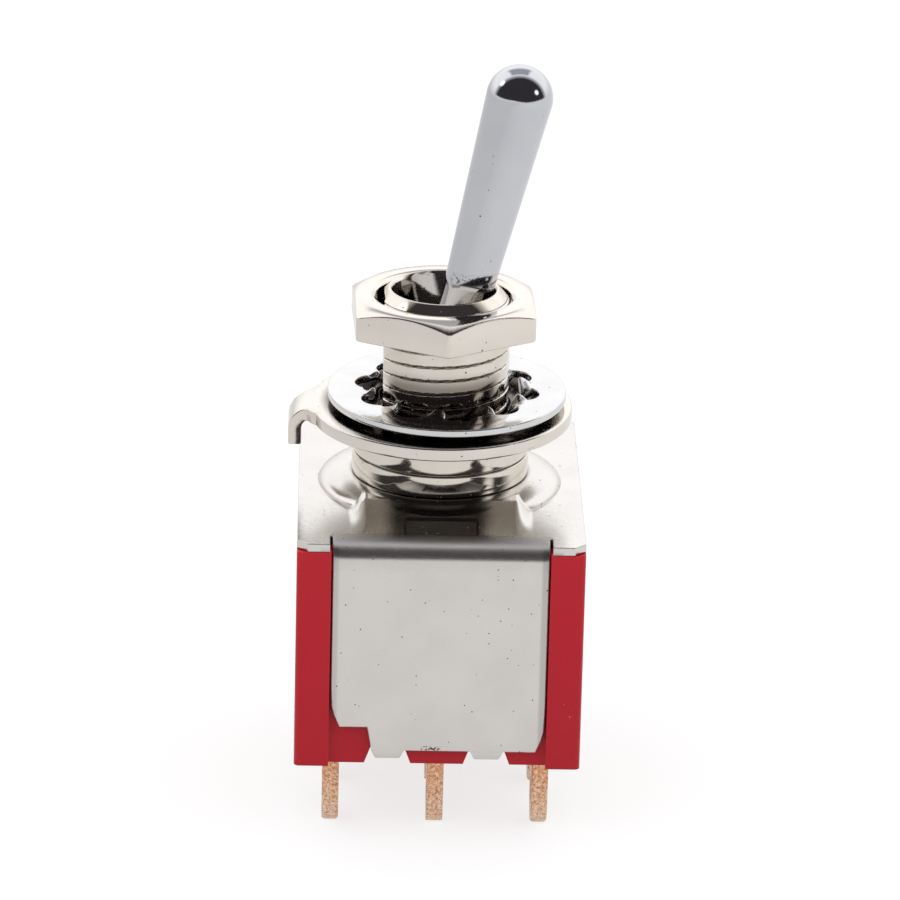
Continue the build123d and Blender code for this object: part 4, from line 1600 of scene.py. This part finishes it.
@dataclass(frozen=True)
class Palette:
    """Every finish on the switch."""

    chrome: MetalFinish = MetalFinish(
        name="polished_chrome",
        colour=(0.56, 0.565, 0.59),
        tint=(0.53, 0.535, 0.565),
        roughness=0.07,
        roughness_spread=0.02,
        ripple=0.000002,
        broad_scale=420,
        speck_share=0.03,
        patches=(
            # Scuffs at the lever's foot.
            Patch((1.1, -1.0, 6.75), (0.8, 0.9, 0.22), 0.35, (0.10, 0.09, 0.09), strength=0.8, broken=True),
        ),
    )
    bushing: MetalFinish = MetalFinish(
        name="bright_nickel_turned",
        colour=(0.70, 0.665, 0.61),
        tint=(0.65, 0.60, 0.52),
        roughness=0.07,
        roughness_spread=0.03,
        ripple=0.000004,
        broad_scale=900,
        speck_share=0.05,
        edge_radius=0.00003,
        # Painted shade in its creases.
        crevice=0.00014,
        patches=(
            # Painted shade on the thread's lower turns, standing in for their dark reflection.
            Patch((0.15, -3.4, 1.5), (2.6, 1.7, 1.15), 0.9, (0.13, 0.10, 0.08), strength=0.8),
        ),
    )
    nut: MetalFinish = MetalFinish(
        name="bright_nickel_nut",
        colour=(0.715, 0.67, 0.615),
        tint=(0.70, 0.65, 0.59),
        roughness=0.1,
        ripple=0.000002,
        broad_scale=600,
        speck_share=0.03,
    )
    washer: MetalFinish = MetalFinish(
        name="bright_washer_steel",
        colour=(0.675, 0.67, 0.67),
        tint=(0.63, 0.625, 0.625),
        roughness=0.12,
        ripple=0.000004,
        broad_scale=700,
        speck_share=0.04,
    )
    ring: MetalFinish = MetalFinish(
        name="bright_ring_steel",
        colour=(0.71, 0.67, 0.62),
        tint=(0.68, 0.635, 0.58),
        roughness=0.13,
        bump=0.0000008,
        ripple=0.000004,
        broad_scale=700,
        speck_share=0.06,
        patches=(
            # What lies in the washer's shadow.
            Patch((2.6, 0, 0.6), (2.65, 9, 0.5), 0.6, (0.06, 0.04, 0.032), strength=0.94, round=True),
        ),
    )
    frame: MetalFinish = MetalFinish(
        name="nickel_sheet",
        colour=(0.67, 0.645, 0.615),
        tint=(0.63, 0.605, 0.575),
        roughness=0.2,
        bump=0.0000006,
        ripple=0.000005,
        broad_scale=420,
        speck_share=0.05,
        edge_radius=0.00008,
        # Painted shade in its creases.
        crevice=0.0004,
        patches=(
            # Painted shade on the plate before the bushing, a rougher fold, painted shade down the flange's
            # rolled sides, and its soiled foot.
            Patch((-0.1, -5.4, -3.0), (2.2, 1.95, 1.0), 0.9, strength=0.85),
            Patch((0, -8.3, -3.4), (5.2, 1.3, 0.9), 0.6, roughness=0.16),
            Patch((4.9, -8.24, -7.9), (0.45, 0.3, 4.6), 0.16, (0.40, 0.39, 0.38), strength=0.7),
            Patch((-4.9, -8.24, -7.9), (0.4, 0.3, 4.6), 0.16, (0.42, 0.41, 0.40), strength=0.55),
            Patch(
                (-0.3, -8.24, -12.72),
                (0.42, 0.3, 0.1),
                0.12,
                (0.03, 0.025, 0.02),
                strength=0.95,
                paired=False,
                broken=True,
            ),
        ),
    )
    housing: PlasticFinish = PlasticFinish(
        name="red_moulding",
        colour=(0.60, 0.011, 0.027),
        tint=(0.54, 0.009, 0.022),
        # Painted highlight along the moulded edges.
        edge_colour=(0.70, 0.06, 0.07),
        roughness=0.34,
        speck_share=0.015,
    )
    lugs: LugFinish = LugFinish(
        name="washed_copper",
        colour=(0.70, 0.29, 0.12),
        tint=(0.82, 0.64, 0.49),
        roughness=0.22,
        base_height=-0.0132,
        end_height=-0.0180,
    )
    brass: MetalFinish = MetalFinish(
        name="contact_brass",
        colour=(0.78, 0.58, 0.28),
        tint=(0.7, 0.5, 0.22),
        roughness=0.25,
        ripple=0.000004,
    )
    steel: MetalFinish = MetalFinish(
        name="drawn_steel", colour=(0.6, 0.6, 0.6), tint=(0.5, 0.5, 0.5), roughness=0.3, bump=0.000001
    )
    slider: PlasticFinish = PlasticFinish(
        name="natural_moulding",
        colour=(0.78, 0.76, 0.7),
        tint=(0.74, 0.72, 0.66),
        # Painted highlight along the moulded edges.
        edge_colour=(0.85, 0.84, 0.8),
        roughness=0.5,
    )


@dataclass(frozen=True)
class Lamp:
    """A soft square lamp: where it hangs and its side in metres, and its power in watts."""

    name: str
    place: Place
    size: float
    power: float


@dataclass
class Studio:
    """The floor, light and camera, in metres.

    Attributes:
        floor_height: the height that the switch stands at.
        room_light: of the even light on everything but polished metal.
        left, right: the room that polished metal sees on each side.
        back: behind the switch.
        front: before it, above the horizon.
        overhead: a patch above.
        window: the brightness of the windows.
        windows: the way to each, and the cosine that its edge starts at.
        window_edge: how far that cosine goes before the window is at its full brightness.
        horizon: the heights, on a ball round the switch, that the dark begins and is full at.
        horizon_slope: how the horizon falls to the right, as far as horizon_drift.
        front_edge: where the dark begins and is full, from behind to before the switch.
        back_depth, back_height: the same for the bright room behind.
        overhead_near, overhead_far, overhead_side, overhead_height: the same for the patch.
        floor_size: half the floor's side.
        floor_paint: the floor's own colour.
        floor_shown: how much it glows where it is looked at.
        floor_mirrored: and in polished metal, to the left and right of floor_half.
        lamp_aim: what the lamps point at.
        aim: what the camera looks at.
        camera_turns: its elevation, yaw and roll, in degrees.
        camera_distance: how far it stands from there.
        camera_clip: how near and how far it sees.
        sensor, lens: its sensor's width and its lens's length, in millimetres.
    """

    floor_height: float
    room_light: float = 0.9
    left: Colour = (0.93, 0.93, 0.94)
    right: Colour = (1.08, 1.08, 1.07)
    back: Colour = (1.42, 1.42, 1.44)
    front: Colour = (0.045, 0.04, 0.045)
    overhead: Colour = (0.5, 0.51, 0.57)
    window: Colour = (1.9, 1.9, 1.9)
    windows: tuple[tuple[Place, float], ...] = (
        ((-0.767, 0.113, 0.632), 0.985),
        ((0.835, -0.364, 0.411), 0.988),
    )
    window_edge: float = 0.008
    horizon: Span = (0.04, 0.08)
    horizon_slope: float = 0.14
    horizon_drift: float = 0.05
    front_edge: Span = (0.22, -0.05)
    back_depth: Span = (0.1, 0.3)
    back_height: Span = (0.02, 0.3)
    overhead_near: Span = (0.2, 0.3)
    overhead_far: Span = (0.8, 0.68)
    overhead_side: Span = (0.4, 0.3)
    overhead_height: Span = (0.3, 0.5)
    floor_size: float = 3.0
    floor_paint: float = 0.3
    floor_shown: float = 0.76
    floor_mirrored: tuple[float, float] = (0.53, 0.71)
    floor_half: float = 0.08
    lamps: tuple[Lamp, ...] = (
        Lamp("key_lamp", (-0.25, -0.3, 0.4), 0.25, 0.35),
        Lamp("fill_lamp", (0.35, -0.2, 0.3), 0.25, 0.2),
    )
    lamp_aim: Place = (0, 0, -0.004)
    aim: Place = (0.000445, 0, -0.001624)
    camera_turns: tuple[float, float, float] = (20.243, 1.346, 1.404)
    camera_distance: float = 0.26859
    camera_clip: Span = (0.01, 20)
    sensor: float = 36
    lens: float = 238.73

    def room(self, nodes: Nodes) -> bpy.types.NodeSocket:
        """The room that polished metal sees, by the way that a ray goes.

        It is white, a touch brighter towards the right, and brighter than white behind the
        switch. In front, above a horizon that tilts a little, it is dark, with a bright
        window on each side and a grey patch overhead.

        Args:
            nodes: the world's nodes.

        Returns:
            The colour's socket.
        """
        way = nodes.add("ShaderNodeTexCoord").outputs["Generated"]
        x, y, z = nodes.axes(way)
        tilt = nodes.math("MAXIMUM", nodes.math("MULTIPLY", x, self.horizon_slope), -self.horizon_drift)
        tilt = nodes.math("MINIMUM", tilt, self.horizon_drift)
        above = nodes.span(nodes.math("ADD", z, tilt), *self.horizon)
        dark = nodes.math("MULTIPLY", above, nodes.span(y, *self.front_edge))
        patch = nodes.math("MULTIPLY", nodes.span(y, *self.overhead_near), nodes.span(y, *self.overhead_far))
        beside = nodes.span(nodes.math("ABSOLUTE", x), *self.overhead_side)
        patch = nodes.math("MULTIPLY", patch, beside)
        patch = nodes.math("MULTIPLY", patch, nodes.span(z, *self.overhead_height))
        behind = nodes.math("MULTIPLY", nodes.span(y, *self.back_depth), nodes.span(z, *self.back_height))
        seen = nodes.mix(nodes.span(x, -1.0, 1.0), self.left, self.right)
        seen = nodes.mix(behind, seen, self.back)
        seen = nodes.mix(dark, seen, self.front)
        seen = nodes.mix(patch, seen, self.overhead)
        for aim, edge in self.windows:
            toward = nodes.add("ShaderNodeVectorMath", {"operation": "DOT_PRODUCT"}, _0=way, _1=aim)
            window = nodes.span(toward.outputs["Value"], edge, edge + self.window_edge)
            seen = nodes.mix(window, seen, self.window)
        return seen

    def world(self) -> None:
        """Light everything evenly, show polished metal the room, and show the camera white."""
        world = bpy.data.worlds.new("studio")
        bpy.context.scene.world = world
        world.use_nodes = True
        nodes = Nodes(world.node_tree)
        white = (1, 1, 1, 1)
        path = nodes.add("ShaderNodeLightPath").outputs
        shown = nodes.add("ShaderNodeBackground", Strength=self.room_light, Color=white)
        for ray, colour in (("Is Glossy Ray", self.room(nodes)), ("Is Camera Ray", white)):
            other = nodes.add("ShaderNodeBackground", Strength=1.0, Color=colour)
            shown = nodes.add("ShaderNodeMixShader", Fac=path[ray], _1=shown.outputs[0], _2=other.outputs[0])
        nodes.add("ShaderNodeOutputWorld", Surface=shown.outputs[0])

    def floor(self) -> None:
        """Lay a plain white floor that keeps the switch's shadow, brighter in metal to the right."""
        data = bpy.data.meshes.new("studio_floor")
        half = self.floor_size
        corners = [(-half, -half), (half, -half), (half, half), (-half, half)]
        data.from_pydata([(x, y, self.floor_height) for x, y in corners], [], [(0, 1, 2, 3)])
        floor = placed("studio_floor", data)
        material = bpy.data.materials.new("white_floor")
        material.use_nodes = True
        nodes = Nodes(material.node_tree)
        path = nodes.add("ShaderNodeLightPath").outputs
        across = nodes.axes(nodes.place())[0]
        in_metal = nodes.span(across, -self.floor_half, self.floor_half, *self.floor_mirrored)
        shown = nodes.math("MULTIPLY", path["Is Camera Ray"], self.floor_shown)
        seen = nodes.math("ADD", shown, nodes.math("MULTIPLY", path["Is Glossy Ray"], in_metal))
        paint = nodes.add("ShaderNodeBsdfDiffuse", Color=(*[self.floor_paint] * 3, 1))
        glow = nodes.add("ShaderNodeEmission", Strength=seen, Color=(1, 1, 1, 1))
        both = nodes.add("ShaderNodeAddShader", _0=paint.outputs[0], _1=glow.outputs[0])
        nodes.add("ShaderNodeOutputMaterial", Surface=both.outputs[0])
        data.materials.append(material)
        floor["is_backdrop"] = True

    def light(self, lamp: Lamp) -> None:
        """Hang a lamp, aimed at the switch, that polished metal doesn't see.

        Args:
            lamp: the lamp.
        """
        data = bpy.data.lights.new(lamp.name, "AREA")
        data.shape, data.size, data.energy = "SQUARE", lamp.size, lamp.power
        hung = placed(lamp.name, data)
        way = (Vector(self.lamp_aim) - Vector(lamp.place)).to_track_quat("-Z", "Y")
        hung.matrix_world = Matrix.Translation(lamp.place) @ way.to_matrix().to_4x4()
        hung.visible_glossy = False

    def camera(self) -> None:
        """Stand the camera in front and a little above, with a long lens."""
        elevation, yaw, roll = (math.radians(turn) for turn in self.camera_turns)
        level = Vector((math.sin(yaw), math.cos(yaw), 0)) * math.cos(elevation)
        forward = level - Vector((0, 0, math.sin(elevation)))
        right = Vector((math.cos(yaw), -math.sin(yaw), 0))
        up = right.cross(forward)
        side = math.cos(roll) * right + math.sin(roll) * up
        top = -math.sin(roll) * right + math.cos(roll) * up
        data = bpy.data.cameras.new("camera")
        data.sensor_width, data.lens = self.sensor, self.lens
        data.clip_start, data.clip_end = self.camera_clip
        camera = placed("camera", data)
        turn = Matrix((side, top, -forward)).transposed().to_4x4()
        camera.matrix_world = Matrix.Translation(Vector(self.aim) - forward * self.camera_distance) @ turn
        bpy.context.scene.camera = camera

    def build(self) -> None:
        """Set up the room."""
        bpy.context.scene.view_settings.view_transform = "Standard"
        self.world()
        self.floor()
        for lamp in self.lamps:
            self.light(lamp)
        self.camera()


class ToggleSwitch:
    """The dressed switch: its finished pieces, and the CAD nodes that keep their shape."""

    def __init__(self, frame: dict, palette: Palette) -> None:
        """Build the finishes.

        Args:
            palette: the finishes' values.
        """
        self.nodes: dict[str, bpy.types.Object] = frame["nodes"]
        effects = Effects()
        self.finish: dict[str, bpy.types.Material] = {
            part.name: getattr(palette, part.name).material(effects) for part in fields(palette)
        }

    def dress_nodes(self) -> None:
        """Give every CAD node its finish, by the first word of its name."""
        finishes = {"base": "housing", "actuator": "slider"}
        finishes |= dict.fromkeys(("left", "right", "common"), "lugs")
        finishes |= dict.fromkeys(("plunger", "rocker"), "brass")
        for name, node in self.nodes.items():
            node.data.materials.clear()
            node.data.materials.append(self.finish[finishes.get(name.split("_")[0], "steel")])

    def seat(self, piece: bpy.types.Object, finish: str, body: Body, node: str) -> None:
        """Dress a finished piece and put it in its CAD node's place.

        Args:
            piece: the finished piece.
            finish: its finish's name in the palette.
            body: the body that it rides on.
            node: the CAD node that it stands for.
        """
        piece.data.materials.append(self.finish[finish])
        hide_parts(node)
        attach(piece, body.value)
        log.info("%s: %d faces, for %s", piece.name, len(piece.data.polygons), node)

    def build(self) -> None:
        """Make and seat every finished piece."""
        self.dress_nodes()
        housing = SoftenedSolid(width=0.09).build(self.nodes["base_housing"], "moulded_base")
        self.seat(housing, "housing", Body.SWITCH, "base_housing")
        for name in [name for name in self.nodes if "_terminal_" in name]:
            lug = SoftenedSolid(width=0.14).build(self.nodes[name], f"{name}_finished")
            self.seat(lug, "lugs", Body.SWITCH, name)
        self.seat(BatLever().build(), "chrome", Body.LEVER, "toggle_lever")
        self.seat(ThreadedBushing().build(), "bushing", Body.SWITCH, "bushing")
        self.seat(HexNut().build(), "nut", Body.NUT, "hex_nut")
        self.seat(LockWasher().build(), "washer", Body.SWITCH, "lock_washer")
        self.seat(LocatingRing().build(), "ring", Body.SWITCH, "locating_ring")
        self.seat(FoldedFrame().build(), "frame", Body.SWITCH, "mounting_frame")
        for pole in ("front", "middle", "rear"):
            spring = CoilSpring()
            coil = spring.build(self.nodes[f"spring_{pole}"], f"wound_spring_{pole}")
            self.seat(coil, "steel", Body.CARRIAGE, f"spring_{pole}")
            spring.shorten(coil)


def corner_list(bounds: object) -> list:
    """A box as plain lists of numbers."""
    return np.array([tuple(corner) for corner in bounds], float).tolist()


def main() -> None:
    """Load the frame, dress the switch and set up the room."""
    logging.basicConfig(level=logging.INFO, format="%(name)s: %(message)s")
    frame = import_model()
    packed = corner_list(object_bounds())
    ToggleSwitch(frame, Palette()).build()
    Studio(packed[0][2]).build()


if __name__ == "__main__":
    main()
